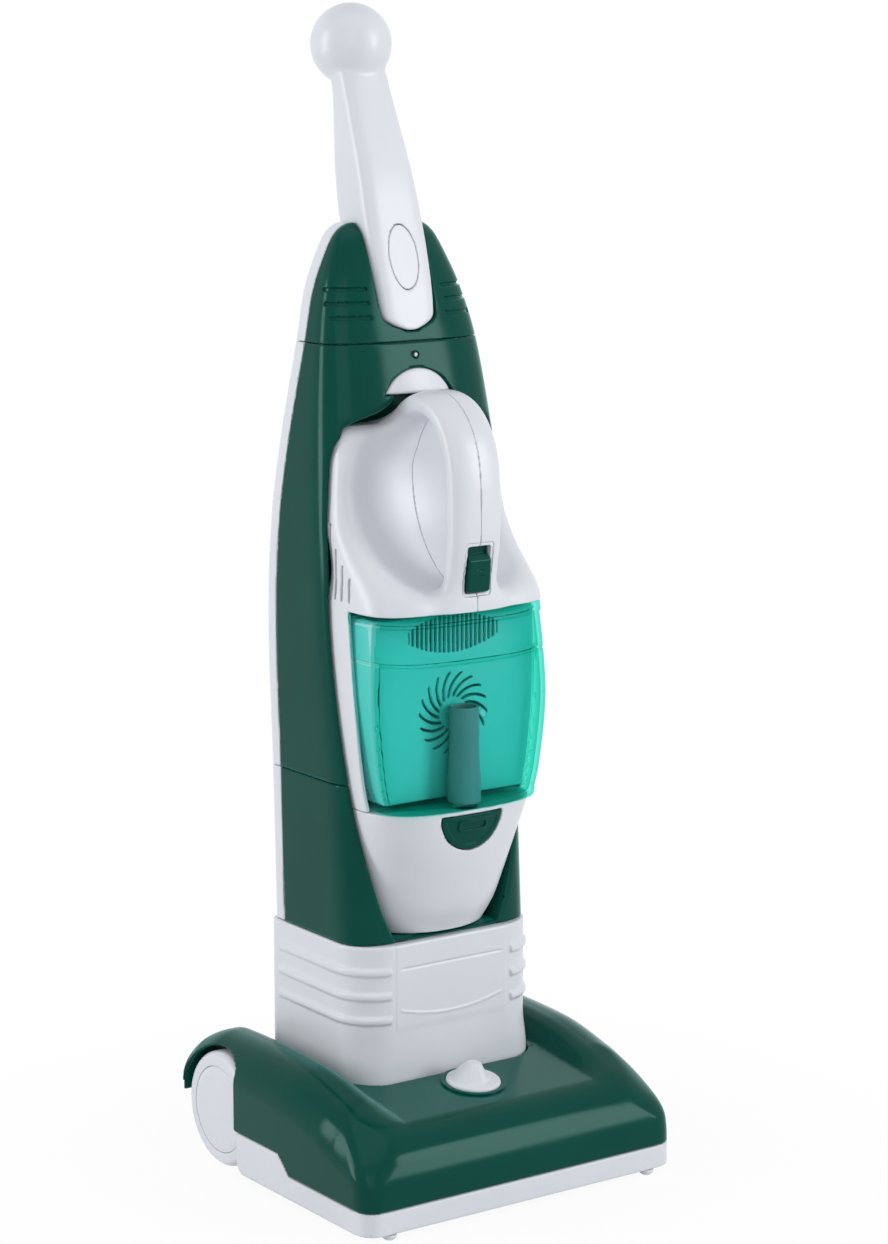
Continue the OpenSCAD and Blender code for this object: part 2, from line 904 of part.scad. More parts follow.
hand_rows = [
    [nose_z, nose_w / 2, -23, 19, 2],
    [150, nose_w / 2 + 6, -30.5, 23, 2],
    [165, hand_half - 12.5, -36, 26, 2],
    [186, hand_half - 7.5, -42.5, 28, 2.1],
    [hand_split, hand_half - 4, -45.5, hand_back - 1, 2.7],
    [240, hand_half - 1.5, -46, hand_back - 0.5, 4.5],
    [280, hand_half - 0.2, -46, hand_back, 4.2],
    [bin_z1 + 1, hand_half, -45, hand_back, 4],
    [330, hand_half - 0.4, -41, hand_back, 2.8],
    [345, hand_half - 0.8, -26, hand_back, 2.4],
    [360, hand_half - 1.2, -11, hand_back, 2.8],
    [390, hand_half - 4.2, -4, hand_back - 0.5, 3.2],
    [399, hand_half - 6.2, 0, hand_back - 1, 3],
    [405, hand_half - 9.5, 3, hand_back - 2, 2.8],
    [408.5, hand_half - 15, 6, hand_back - 3, 2.6],
    [410.5, hand_half - 26, 9, hand_back - 5, 2.4]
];

// The cavity is open towards the bin, and stays behind the scoop above it
cavity_rows = [
    [hand_split, -30],
    [bin_z1 - 3, -30],
    [bin_z1 + 4, -5],
    [335, 0],
    [345, 14],
    [430, 14]
];

function hand_half_at(z) = curve(hand_rows, z, 1);

function hand_ring(z, e, past) =
    lift(half_ring(
        hand_half_at(z) - e,
        curve(hand_rows, z, 2) + e,
        curve(hand_rows, z, 3) - e,
        curve(hand_rows, z, 4),
        past
    ), z);

function cavity_ring(z) =
    lift(half_ring(
        hand_half_at(z) - hand_wall,
        max(curve(hand_rows, z, 2) + hand_wall, lookup(z, cavity_rows)),
        curve(hand_rows, z, 3) - hand_wall,
        curve(hand_rows, z, 4),
        1
    ), z);

// Loop handle: centre line points in y and z, with the direction of travel in degrees
loop_path = [
    [-39, 316, 99],
    [-42, 335, 98],
    [-44.7, 352, 94],
    [-45, 370, 89],
    [-44, 388, 84],
    [-41, 401, 68],
    [-34.5, 412, 50],
    [-25, 419.5, 27],
    [-13, 422.5, 0],
    [-1, 419, -30],
    [9, 410, -48]
];

function loop_ring(p) =
    [for (q = half_ring(loop_half, -loop_deep, loop_deep, 3, 0))
        [q[0], p[0] + q[1] * sin(p[2]), p[1] - q[1] * cos(p[2])]];

switch_z = 326;
switch_front = -51;
switch_back = -45;
vent_rows = [[12.5, 360], [7, 347], [1, 339], [-6, 333]];
vent_low = 322;
bin_clear = 0.4;
vent_half = 0.7;

module bin_space() {
    along_x(-80, 80)
        polygon(concat(
            [[-90, hand_split - 9], [bin_rear(bin_z0) + bin_clear, hand_split - 9]],
            [for (r = bin_rows) [r[3] + bin_clear, r[0]]],
            [[bin_rear(bin_z1) + bin_clear, bin_z1 + bin_clear], [-90, bin_z1 + bin_clear]]
        ));
}

module vents() {
    for (v = vent_rows)
        translate([-80, v[0] - vent_half, vent_low]) cube([40, 2 * vent_half, v[1] - vent_low]);
}

module hand_half_shell() {
    stations = [for (r = hand_rows) if (r[0] >= hand_split) r[0]];
    cavity = concat([hand_split - 1], [for (z = tail(stations)) if (z < 400) z], [400]);
    scoop_r = 56;
    difference() {
        union() {
            difference() {
                skin([for (z = stations) hand_ring(z, 0, 0)]);
                skin([for (z = cavity) cavity_ring(z)]);
                translate([0, -45.5, 386]) rotate([0, 90, 0]) sphere(r = scoop_r);
                bin_space();
                vents();
                door_space();
            }
            skin([for (p = loop_path) loop_ring(p)]);
        }
        translate([-switch_half - button_gap, -70, switch_z - button_gap])
            cube([
                2 * (switch_half + button_gap),
                70 + switch_back + button_gap,
                switch_h + switch_travel + 2 * button_gap
            ]);
    }
}

module hand_left() {
    color(white) hand_half_shell();
}

module hand_right() {
    color(white)
    difference() {
        mirror([1, 0, 0]) hand_half_shell();
        for (p = hand_screw_at)
            rod_x(30, 80, head_r + seat, p[0], p[1]);
    }
}

hand_screw_at = [[20, 228], [20, 300], [20, 375]];

module hand_screws() {
    color(steel)
    for (p = hand_screw_at) {
        x = hand_half_at(p[1]) - hand_wall;
        rod_x(x - 1.5, x + 0.6, head_r, p[0], p[1]);
        rod_x(x - 14, x - 1.4, screw_r, p[0], p[1]);
    }
}

module nozzle() {
    stations = [for (r = hand_rows) if (r[0] <= hand_split) r[0]];
    middle = [for (i = [1:len(stations) - 2]) stations[i]];
    inner = concat([nose_z - 1], middle, [hand_split + 1]);
    color(white)
    difference() {
        for (s = [0, 1])
            mirror([s, 0, 0]) skin([for (z = stations) hand_ring(z, 0, 0)]);
        for (s = [0, 1])
            mirror([s, 0, 0])
                skin([for (z = inner) hand_ring(z, hand_wall, 1)]);
        along_y(-70, -30) latch_outline(button_gap);
    }
}

// Dock: what the upright leaves free for the hand vacuum

dock_rows = concat(
    [for (r = hand_rows) if (r[0] <= 405) [r[0], r[1] + dock_gap]],
    [[410, 44.8], [413.5, 37.5], [417, 26], [421, 18.5], [426.5, 13]]
);
dock_low = nose_z - 0.3;

function dock_points(e) =
    let (right = concat(
        [[nose_w / 2 + dock_gap + e, dock_low - e]],
        [for (r = tail(dock_rows)) [r[1] + e, r[0] + (r[0] > 406 ? e : 0)]]
    ))
    concat(right, mirrored(backwards(right)));

module dock_space() {
    along_y(-80, hand_back + 20) polygon(dock_points(0));
}

tray_wall = 0.8;
tray_depth = 11;

module dock_tray() {
    floor_y = hand_back + 0.3;
    color(green) {
        along_y(floor_y, floor_y + 2) polygon(dock_points(tray_wall));
        difference() {
            along_y(floor_y - tray_depth, floor_y + 1) polygon(dock_points(tray_wall));
            along_y(floor_y - tray_depth - 1, floor_y + 2) polygon(dock_points(0));
        }
        translate([-nose_w / 2, -17, collar_top + seam_gap])
            cube([nose_w, 17 + floor_y + 1, dock_low - collar_top - seam_gap]);
    }
}

// Dust bin: rows of height, half width, front, rear edge

bin_half = bin_w / 2;

bin_rows = [
    [bin_z0, bin_half - 8, -48, -20],
    [225, bin_half - 4.5, -51.5, -18],
    [262, bin_half - 0.5, -54.5, -15],
    [290, bin_half, -51.5, -12],
    [bin_z1, bin_half - 0.5, -46.5, -9.5]
];

function bin_rear(z) = curve(bin_rows, z, 3);

function bin_ring(z, e, past) =
    let (
        w = curve(bin_rows, z, 1) - e,
        rear = bin_rear(z),
        left = [for (q = quarter(w, rear - curve(bin_rows, z, 2) - e, 3.2)) [-q[0], rear - q[1]]]
    )
    lift(concat([[-w, rear + past]], left, tail(mirrored(backwards(left))), [[w, rear + past]]), z);

module dust_bin() {
    stations = [bin_z0, 217, 225, 243, 262, 276, 290, bin_z1];
    middle = [for (i = [1:len(stations) - 2]) stations[i]];
    inner = concat([bin_z0 + bin_wall], middle, [bin_z1 - bin_wall]);
    color(teal)
    difference() {
        skin([for (z = stations) bin_ring(z, 0, 0.01)]);
        skin([for (z = inner) bin_ring(z, bin_wall, 9)]);
        rod_y(-80, tube_y, bin_hole_r, 0, 262);
        translate([0, tube_y, bin_z0 - 5]) cylinder(r = tube_r - 2, h = 12);
    }
}

tube_r = 8;
tube_y = -36.5;
tube_top = 263;

module intake_tube() {
    low = bin_z0 + bin_wall;
    color(grey)
    translate([0, tube_y, 0])
        rotate_extrude()
            polygon([
                [tube_r - 1.5, low],
                [tube_r + 1, low],
                [tube_r + 0.8, low + 16],
                [tube_r, low + 34],
                [tube_r, tube_top],
                [tube_r - 1.5, tube_top]
            ]);
}

// Fan chamber behind the bin

guard_front = -26.5;
guard_back = -5;
guard_wall = 2;
guard_gap = 2.6;
fan_z = 263.5;
fan_r = 30;
shaft_r = 1;

function guard_points(e) =
    let (right = [for (z = [bin_z0 + bin_wall + guard_gap + e, 225, 262, 290, bin_z1 - bin_wall - guard_gap - e])
        [curve(bin_rows, z, 1) - bin_wall - guard_gap - e, z]])
    concat(right, mirrored(backwards(right)));

module guard_slots() {
    slots = 18;
    for (i = [0:slots - 1])
        translate([0, fan_z]) rotate(i * 360 / slots) translate([10, 4]) square([13, 1.2]);
    for (i = [-6:6])
        translate([i * 5 - 0.7, 290]) square([1.4, 15]);
}

module fan_guard() {
    flange = [for (p = guard_points(0)) [sign(p[0]) * (hand_half_at(p[1]) - hand_wall - 0.8), p[1]]];
    color(white)
    difference() {
        union() {
            along_y(guard_front, guard_back) polygon(guard_points(0));
            along_y(guard_back - 2, guard_back) polygon(flange);
        }
        along_y(guard_front + guard_wall, guard_back + 1) polygon(guard_points(guard_wall));
        along_y(guard_front - 1, guard_front + guard_wall + 1) guard_slots();
    }
}

plate_y = -8;
motor_r = 13;
motor_l = 22;

module motor_plate() {
    color(grey)
    difference() {
        along_y(plate_y, plate_y + 2) polygon(guard_points(guard_wall + 0.1));
        rod_y(plate_y - 1, plate_y + 4, 5, 0, fan_z);
    }
}

module motor() {
    color(steel)
    difference() {
        rod_y(plate_y + 2, plate_y + 2 + motor_l, motor_r, 0, fan_z);
        rod_y(plate_y, plate_y + 12, shaft_r + fit, 0, fan_z);
    }
}

module fan() {
    blades = 9;
    disc_y = plate_y - 4;
    color(white) {
        rod_y(disc_y, disc_y + 1.5, fan_r, 0, fan_z);
        rod_y(disc_y - 8, disc_y + 1, 5, 0, fan_z);
        rod_y(disc_y, plate_y + 11, shaft_r, 0, fan_z);
        along_y(disc_y - 7, disc_y + 1)
            for (i = [0:blades - 1])
                translate([0, fan_z]) rotate(i * 360 / blades) translate([4, -0.8]) square([fan_r - 6, 1.6]);
    }
}

// Batteries behind the fan chamber

cell_r = 7.2;
cell_l = 50;
cell_x = 28;
cell_y = hand_back - hand_wall - 10.6;
cell_low = 236;
door_half = [39, 33];
door_z = cell_low + cell_l / 2;

module cell_places() {
    for (s = [-1, 1])
        translate([s * cell_x, cell_y, cell_low]) children();
}

module battery_cells() {
    color(grey) cell_places() cylinder(r = cell_r, h = cell_l);
}

module battery_box() {
    wall = 1.2;
    r = cell_r + seat;
    color(white)
    difference() {
        cell_places()
            translate([-r - wall, -r - wall, -wall - seat])
                cube([2 * (r + wall), 2 * r + wall, cell_l + 2 * (wall + seat)]);
        cell_places()
            translate([0, 0, -seat]) {
                cylinder(r = r, h = cell_l + 2 * seat);
                translate([-r, 0, 0]) cube([2 * r, 2 * r, cell_l + 2 * seat]);
            }
    }
}

module door_space() {
    translate([-door_half[0], hand_back - hand_wall - 2, door_z - door_half[1]])
        cube([2 * door_half[0], 20, 2 * door_half[1]]);
}

module battery_door() {
    lip = 0.3;
    thick = hand_wall - 0.5;
    color(white)
    translate([-door_half[0] + lip, hand_back - hand_wall - 0.6, door_z - door_half[1] + lip])
        cube([2 * (door_half[0] - lip), thick, 2 * (door_half[1] - lip)]);
}

// Latch under the bin and power switch on the loop

latch_front = -45.6;
latch_back = -37;

module latch_outline(e) {
    intersection() {
        translate([0, latch_z]) circle(r = latch_r + e);
        translate([-40, latch_z - 40]) square([80, 40 + e]);
    }
}

module bin_latch() {
    color(green) along_y(latch_front, latch_back) latch_outline(0);
}

module power_switch() {
    color(green)
    along_x(-switch_half, switch_half)
        polygon([
            [switch_back, switch_z],
            [switch_back, switch_z + switch_h],
            [switch_front + 1, switch_z + switch_h],
            [switch_front - 0.5, switch_z + switch_h - 5],
            [switch_front + 1, switch_z]
        ]);
}

base_cover();
base_pan();
front_glides();
axle();
pan_screws();
wheel_left();
wheel_right();
hub_cap_left();
hub_cap_right();
knob_ring();
height_knob();
knob_screw();
collar();
lower_front_shell();
lower_rear_shell();
main_front_shell();
main_rear_shell();
cap_front();
cap_rear();
dock_tray();
handle_left();
handle_right();
handle_inlay();
indicator_lens();
body_screws();
release_button();
hand_left();
hand_right();
nozzle();
fan_guard();
motor_plate();
motor();
fan();
battery_box();
battery_cells();
battery_door();
hand_screws();
dust_bin();
intake_tube();
bin_latch();
power_switch();
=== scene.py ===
"""Looks of the toy upright vacuum cleaner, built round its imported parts.

Shapes are in millimetres. Lights, floor and camera are in metres.
"""

import math

import bpy
import numpy as np
from mathutils import Matrix, Vector

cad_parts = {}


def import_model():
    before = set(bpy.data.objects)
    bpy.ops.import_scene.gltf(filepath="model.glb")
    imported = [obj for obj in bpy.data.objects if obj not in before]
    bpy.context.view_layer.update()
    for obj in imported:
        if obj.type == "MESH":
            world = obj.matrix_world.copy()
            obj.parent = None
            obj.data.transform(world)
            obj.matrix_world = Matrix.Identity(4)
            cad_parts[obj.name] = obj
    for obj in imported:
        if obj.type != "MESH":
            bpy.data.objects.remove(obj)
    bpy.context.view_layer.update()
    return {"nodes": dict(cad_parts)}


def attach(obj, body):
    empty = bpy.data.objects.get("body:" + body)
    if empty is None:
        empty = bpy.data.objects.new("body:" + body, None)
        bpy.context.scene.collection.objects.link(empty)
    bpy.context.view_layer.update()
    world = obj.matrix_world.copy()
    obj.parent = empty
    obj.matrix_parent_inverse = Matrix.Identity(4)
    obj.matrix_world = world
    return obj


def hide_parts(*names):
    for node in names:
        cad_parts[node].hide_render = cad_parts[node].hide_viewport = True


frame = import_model()
COARSE = 1.0
MM = 0.001

# Added to a divisor that may be zero
TINY = 1e-12


# Materials

NOISE_LOW, NOISE_HIGH = 0.3, 0.7
FINE_DENT = 0.4 * MM
PLASTIC_IOR = 1.5

# Sockets of a Mix node that mixes colours
MIX_SHARE, MIX_A, MIX_B, MIX_RESULT = 0, 6, 7, 2


def nodes_of(name):
    mat = bpy.data.materials.new(name)
    mat.use_nodes = True
    tree = mat.node_tree
    tree.nodes.clear()
    out = tree.nodes.new("ShaderNodeOutputMaterial")
    return mat, tree, out


def speckle(tree, scale, low, high):
    """A soft noise between two colours, in object coordinates."""
    coords = tree.nodes.new("ShaderNodeTexCoord")
    noise = tree.nodes.new("ShaderNodeTexNoise")
    noise.inputs["Scale"].default_value = scale
    noise.inputs["Detail"].default_value = 3.0
    ramp = tree.nodes.new("ShaderNodeValToRGB")
    ramp.color_ramp.elements[0].position = NOISE_LOW
    ramp.color_ramp.elements[1].position = NOISE_HIGH
    ramp.color_ramp.elements[0].color = (*low, 1)
    ramp.color_ramp.elements[1].color = (*high, 1)
    tree.links.new(coords.outputs["Object"], noise.inputs["Vector"])
    tree.links.new(noise.outputs["Fac"], ramp.inputs["Fac"])
    return coords, noise, ramp


def span(tree, source, low, high):
    """The noise's usual range, spread over low to high."""
    rng = tree.nodes.new("ShaderNodeMapRange")
    rng.inputs["From Min"].default_value = NOISE_LOW
    rng.inputs["From Max"].default_value = NOISE_HIGH
    rng.inputs["To Min"].default_value = low
    rng.inputs["To Max"].default_value = high
    tree.links.new(source, rng.inputs["Value"])
    return rng.outputs["Result"]


def painted_sheen(tree, inner, edge):
    """Painted sheen: the base colour turns from the inner colour into the edge colour where the surface is
    seen at a low angle.
    """
    weight = tree.nodes.new("ShaderNodeLayerWeight")
    weight.inputs["Blend"].default_value = 0.5
    rng = tree.nodes.new("ShaderNodeMapRange")
    rng.inputs["From Min"].default_value = 0.5
    rng.inputs["From Max"].default_value = 0.8
    mix = tree.nodes.new("ShaderNodeMix")
    mix.data_type = "RGBA"
    mix.inputs[MIX_B].default_value = (*edge, 1)
    tree.links.new(weight.outputs["Facing"], rng.inputs["Value"])
    tree.links.new(rng.outputs["Result"], mix.inputs[MIX_SHARE])
    tree.links.new(inner, mix.inputs[MIX_A])
    return mix.outputs[MIX_RESULT]


def plastic(
    name, low, high, rough, bump=0.02, grain=900.0, metal=0.0, gloss=0.5, sheen=(1, 1, 1), edge=None,
):
    """Moulded plastic: slight colour drift, uneven gloss and a very fine skin texture."""
    mat, tree, out = nodes_of(name)
    shader = tree.nodes.new("ShaderNodeBsdfPrincipled")
    coords, noise, ramp = speckle(tree, 28.0, low, high)
    colour = ramp.outputs["Color"]
    # An edge colour is painted sheen: the base colour lightens where the surface is seen at a low angle.
    if edge:
        colour = painted_sheen(tree, colour, edge)
    tree.links.new(colour, shader.inputs["Base Color"])
    tree.links.new(span(tree, noise.outputs["Fac"], rough[0], rough[1]), shader.inputs["Roughness"])
    fine = tree.nodes.new("ShaderNodeTexNoise")
    fine.inputs["Scale"].default_value = grain
    fine.inputs["Detail"].default_value = 2.0
    tree.links.new(coords.outputs["Object"], fine.inputs["Vector"])
    dent = tree.nodes.new("ShaderNodeBump")
    dent.inputs["Strength"].default_value = bump
    dent.inputs["Distance"].default_value = FINE_DENT
    tree.links.new(fine.outputs["Fac"], dent.inputs["Height"])
    tree.links.new(dent.outputs["Normal"], shader.inputs["Normal"])
    shader.inputs["Metallic"].default_value = metal
    shader.inputs["IOR"].default_value = PLASTIC_IOR
    shader.inputs["Specular IOR Level"].default_value = gloss
    shader.inputs["Specular Tint"].default_value = (*sheen, 1)
    tree.links.new(shader.outputs["BSDF"], out.inputs["Surface"])
    return mat


def clear_plastic(name, low, high, through, deep):
    """Tinted clear plastic that light passes straight through, tinted more where it is seen edge on."""
    mat, tree, out = nodes_of(name)
    shader = tree.nodes.new("ShaderNodeBsdfPrincipled")
    _, noise, ramp = speckle(tree, 24.0, low, high)
    tree.links.new(ramp.outputs["Color"], shader.inputs["Base Color"])
    tree.links.new(span(tree, noise.outputs["Fac"], 0.05, 0.1), shader.inputs["Roughness"])
    shader.inputs["IOR"].default_value = PLASTIC_IOR
    clear = tree.nodes.new("ShaderNodeBsdfTransparent")
    slant = tree.nodes.new("ShaderNodeLayerWeight")
    slant.inputs["Blend"].default_value = 0.3
    tint = tree.nodes.new("ShaderNodeValToRGB")
    tint.color_ramp.elements[0].position = 0.08
    tint.color_ramp.elements[0].color = (*through, 1)
    tint.color_ramp.elements[1].position = 0.6
    tint.color_ramp.elements[1].color = (*deep, 1)
    tree.links.new(slant.outputs["Facing"], tint.inputs["Fac"])
    tree.links.new(tint.outputs["Color"], clear.inputs["Color"])
    edge = tree.nodes.new("ShaderNodeLayerWeight")
    edge.inputs["Blend"].default_value = 0.08
    share = tree.nodes.new("ShaderNodeMapRange")
    share.inputs["To Min"].default_value = 0.0
    share.inputs["To Max"].default_value = 0.6
    tree.links.new(edge.outputs["Facing"], share.inputs["Value"])
    mixed = tree.nodes.new("ShaderNodeMixShader")
    tree.links.new(share.outputs["Result"], mixed.inputs["Fac"])
    tree.links.new(clear.outputs["BSDF"], mixed.inputs[1])
    tree.links.new(shader.outputs["BSDF"], mixed.inputs[2])
    tree.links.new(mixed.outputs["Shader"], out.inputs["Surface"])
    return mat


# The green's edge colour is painted sheen: lighter green where the surface is seen at a low angle.
GREEN = plastic(
    "green_gloss", (0.0, 0.056, 0.041), (0.0, 0.062, 0.045), (0.13, 0.17), gloss=0.14, sheen=(0.6, 1, 0.95),
    edge=(0.0, 0.15, 0.13),
)
WHITE = plastic("white_gloss", (0.72, 0.74, 0.785), (0.735, 0.755, 0.80), (0.28, 0.34), gloss=0.4)
CLEAR = clear_plastic(
    "clear_green", (0.0, 0.36, 0.28), (0.0, 0.38, 0.295), (0.77, 1.0, 0.985), (0.24, 0.90, 0.80),
)
GREY = plastic("grey_satin", (0.20, 0.21, 0.235), (0.24, 0.25, 0.275), (0.4, 0.5))
STEEL = plastic("plain_steel", (0.50, 0.50, 0.52), (0.60, 0.60, 0.62), (0.28, 0.42), 0.05, 400.0, metal=1.0)
LENS = plastic("dark_lens", (0.006, 0.012, 0.010), (0.010, 0.018, 0.015), (0.08, 0.14))


def painted_highlight_spot(mat, point, colour):
    """Painted highlight: a pale spot, about 2 mm across, round one point of a dark piece."""
    tree = mat.node_tree
    shader = next(n for n in tree.nodes if n.type == "BSDF_PRINCIPLED")
    base = shader.inputs["Base Color"]
    coords = tree.nodes.new("ShaderNodeTexCoord")
    far = tree.nodes.new("ShaderNodeVectorMath")
    far.operation = "DISTANCE"
    far.inputs[1].default_value = point
    rng = tree.nodes.new("ShaderNodeMapRange")
    rng.inputs["From Min"].default_value = 0.7 * MM
    rng.inputs["From Max"].default_value = 1.2 * MM
    mix = tree.nodes.new("ShaderNodeMix")
    mix.data_type = "RGBA"
    mix.inputs[MIX_A].default_value = (*colour, 1)
    tree.links.new(coords.outputs["Object"], far.inputs[0])
    tree.links.new(far.outputs["Value"], rng.inputs["Value"])
    tree.links.new(rng.outputs["Result"], mix.inputs[MIX_SHARE])
    tree.links.new(base.links[0].from_socket, mix.inputs[MIX_B])
    tree.links.new(mix.outputs[MIX_RESULT], base)


# Shapes as distance fields, meshed on a grid


def rmax(a, b, r):
    """Intersection of two fields with a rounded edge of radius r."""
    u = np.maximum(a + r, 0.0)
    v = np.maximum(b + r, 0.0)
    return np.minimum(np.maximum(a, b), -r) + np.sqrt(u * u + v * v)


def smax(a, b, k):
    """Intersection of two fields with a soft blend of width k."""
    h = np.maximum(k - np.abs(a - b), 0.0) / k
    return np.maximum(a, b) + h * h * k * 0.25


def smin(a, b, k):
    """Union of two fields with a soft blend of width k."""
    return -smax(-a, -b, k)


def cut(a, b, r):
    """Field a without what is inside field b, with a rounded rim."""
    return rmax(a, -b, r)


def step(t):
    """Rises smoothly from 0 to 1 as t does."""
    t = np.clip(t, 0.0, 1.0)
    return t * t * t * (t * (6 * t - 15) + 10)


def curve(rows, z, c):
    """A smooth curve through column c of a table, as the part's source draws it."""
    t = np.array([r[0] for r in rows], float)
    v = np.array([r[c] for r in rows], float)
    a = np.maximum(np.arange(len(t)) - 1, 0)
    b = np.minimum(np.arange(len(t)) + 1, len(t) - 1)
    m = (v[b] - v[a]) / (t[b] - t[a])
    z = np.clip(z, t[0], t[-1])
    i = np.clip(np.searchsorted(t, z, side="right") - 1, 0, len(t) - 2)
    h = t[i + 1] - t[i]
    s = (z - t[i]) / h
    p, q = m[i] * h, m[i + 1] * h
    return v[i] + s * (p + s * (3 * (v[i + 1] - v[i]) - 2 * p - q + s * (2 * (v[i] - v[i + 1]) + p + q)))


def squircle(u, v, n, w, d):
    """Distance to a rounded section of half sizes w, d and squareness n, where u is x/w and v is y/d."""
    g = np.power(np.power(u, n) + np.power(v, n) + TINY, 1.0 / n)
    gu = np.power(u / g, n - 1) / w
    gv = np.power(v / g, n - 1) / d
    return (g - 1.0) / np.sqrt(gu * gu + gv * gv + TINY)


def box(x, y, z, low, high):
    dx = np.maximum(low[0] - x, x - high[0])
    dy = np.maximum(low[1] - y, y - high[1])
    dz = np.maximum(low[2] - z, z - high[2])
    return np.maximum(np.maximum(dx, dy), dz)


# The twelve edges of a grid cell: two corner coordinates and the axis that the edge follows
EDGES = [((i >> 1) & 1, i & 1, axis) for axis in range(3) for i in range(4)]

# The grid starts this many steps before the box, and each point is pulled onto the surface a few times
GRID_START = 1.37
PULLS = 3
PULL_PROBE, PULL_LIMIT, NORMAL_PROBE = 0.04, 0.7, 0.3


def nets(field, low, high, h):
    """Surface nets: vertices, quads and normals of the field's zero level."""
    size = [int(math.ceil((b - a) / h)) + 4 for a, b in zip(low, high)]
    start = np.array(low, float) - GRID_START * h
    ax = [start[k] + h * np.arange(size[k]) for k in range(3)]
    values = field(ax[0][:, None, None], ax[1][None, :, None], ax[2][None, None, :])
    values = np.broadcast_to(values, size).astype(np.float32)
    inside = values < 0
    count = np.zeros([s - 1 for s in size], np.uint8)
    for i in (0, 1):
        for j in (0, 1):
            for k in (0, 1):
                count += inside[i:size[0] - 1 + i, j:size[1] - 1 + j, k:size[2] - 1 + k]
    active = (count > 0) & (count < 8)
    cells = np.argwhere(active)
    index = np.full(active.shape, -1, np.int64)
    index[active] = np.arange(len(cells))
    total = np.zeros((len(cells), 3))
    hits = np.zeros(len(cells))
    for p, q, axis in EDGES:
        near = np.zeros(3, int)
        near[(axis + 1) % 3], near[(axis + 2) % 3] = p, q
        far = near.copy()
        far[axis] = 1
        a = values[tuple((cells + near).T)].astype(float)
        b = values[tuple((cells + far).T)].astype(float)
        cross = (a < 0) != (b < 0)
        t = np.where(cross, a / np.where(cross, a - b, 1.0), 0.0)
        spot = (cells + near).astype(float)
        spot[:, axis] += t
        total += spot * cross[:, None]
        hits += cross
    points = start + h * total / hits[:, None]
    quads = []
    for axis in range(3):
        one = inside.take(range(size[axis] - 1), axis)
        two = inside.take(range(1, size[axis]), axis)
        spots = np.argwhere(one != two)
        u, v = (axis + 1) % 3, (axis + 2) % 3
        keep = (spots[:, u] > 0) & (spots[:, v] > 0)
        keep &= (spots[:, u] < size[u] - 1) & (spots[:, v] < size[v] - 1)
        spots = spots[keep]
        corner = []
        for du, dv in ((-1, -1), (0, -1), (0, 0), (-1, 0)):
            cell = spots.copy()
            cell[:, u] += du
            cell[:, v] += dv
            corner.append(index[tuple(cell.T)])
        faces = np.stack(corner, 1)
        out = one[tuple(spots.T)]
        quads.append(np.where(out[:, None], faces, faces[:, ::-1]))
    quads = np.concatenate(quads)

    def slope(p, e):
        g = np.zeros_like(p)
        for k in range(3):
            d = np.zeros(3)
            d[k] = e
            g[:, k] = (at(p + d) - at(p - d)) / (2 * e)
        return g

    def at(p):
        return np.broadcast_to(field(p[:, 0], p[:, 1], p[:, 2]), len(p))

    for _ in range(PULLS):
        g = slope(points, PULL_PROBE)
        move = g * (at(points) / ((g * g).sum(1) + 1e-9))[:, None]
        reach = np.linalg.norm(move, axis=1, keepdims=True) + TINY
        points = points - move * np.minimum(1.0, PULL_LIMIT * h / reach)
    g = slope(points, NORMAL_PROBE * h)
    normals = g / (np.linalg.norm(g, axis=1, keepdims=True) + TINY)
    return points, quads, normals


def solid(name, points, faces, mat, body, nodes, normals=None, place=None):
    """A mesh piece that rides on a body and stands for CAD nodes."""
    mesh = bpy.data.meshes.new(name)
    mesh.from_pydata((np.asarray(points) * MM).tolist(), [], [list(map(int, f)) for f in faces])
    mesh.update()
    mesh.shade_smooth()
    if normals is not None:
        mesh.normals_split_custom_set_from_vertices(np.asarray(normals).tolist())
    obj = bpy.data.objects.new(name, mesh)
    if place is not None:
        mesh.transform(place)
    bpy.context.scene.collection.objects.link(obj)
    mesh.materials.append(mat)
    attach(obj, body)
    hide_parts(*nodes)
    return obj


def shape(name, field, low, high, h, mat, body, *nodes, place=None):
    """A piece meshed from its field within the box low to high, on a grid of step h."""
    points, quads, normals = nets(field, low, high, h * COARSE)
    return solid(name, points, quads, mat, body, nodes, normals, place)


def mirrored(obj, name, body, *nodes):
    """The same piece on the other side of X = 0."""
    mesh = obj.data
    points = np.array([v.co for v in mesh.vertices]) / MM * np.array([-1, 1, 1])
    normals = np.array([c.vector for c in mesh.corner_normals])
    faces = [list(p.vertices)[::-1] for p in mesh.polygons]
    per_point = np.zeros_like(points)
    loops = np.array([v for p in mesh.polygons for v in p.vertices])
    per_point[loops] = normals * np.array([-1, 1, 1])
    return solid(name, points, faces, mesh.materials[0], body, nodes, per_point)


FILLET_POINTS = 6
FILLET_SHARE = 0.45


def filleted(path, radii):
    """An open profile with rounded corners, from one radius or one for each point."""
    out = [path[0]]
    for i in range(1, len(path) - 1):
        a, b, c = (np.array(path[k], float) for k in (i - 1, i, i + 1))
        r = radii[i] if isinstance(radii, list) else radii
        u, v = a - b, c - b
        lu, lv = np.linalg.norm(u), np.linalg.norm(v)
        r = min(r, FILLET_SHARE * lu, FILLET_SHARE * lv)
        if r < 1e-6:
            out.append(tuple(b))
            continue
        p, q = b + u / lu * r, b + v / lv * r
        for t in np.linspace(0, 1, FILLET_POINTS):
            out.append(tuple((1 - t) ** 2 * p + 2 * t * (1 - t) * b + t * t * q))
    out.append(path[-1])
    return out


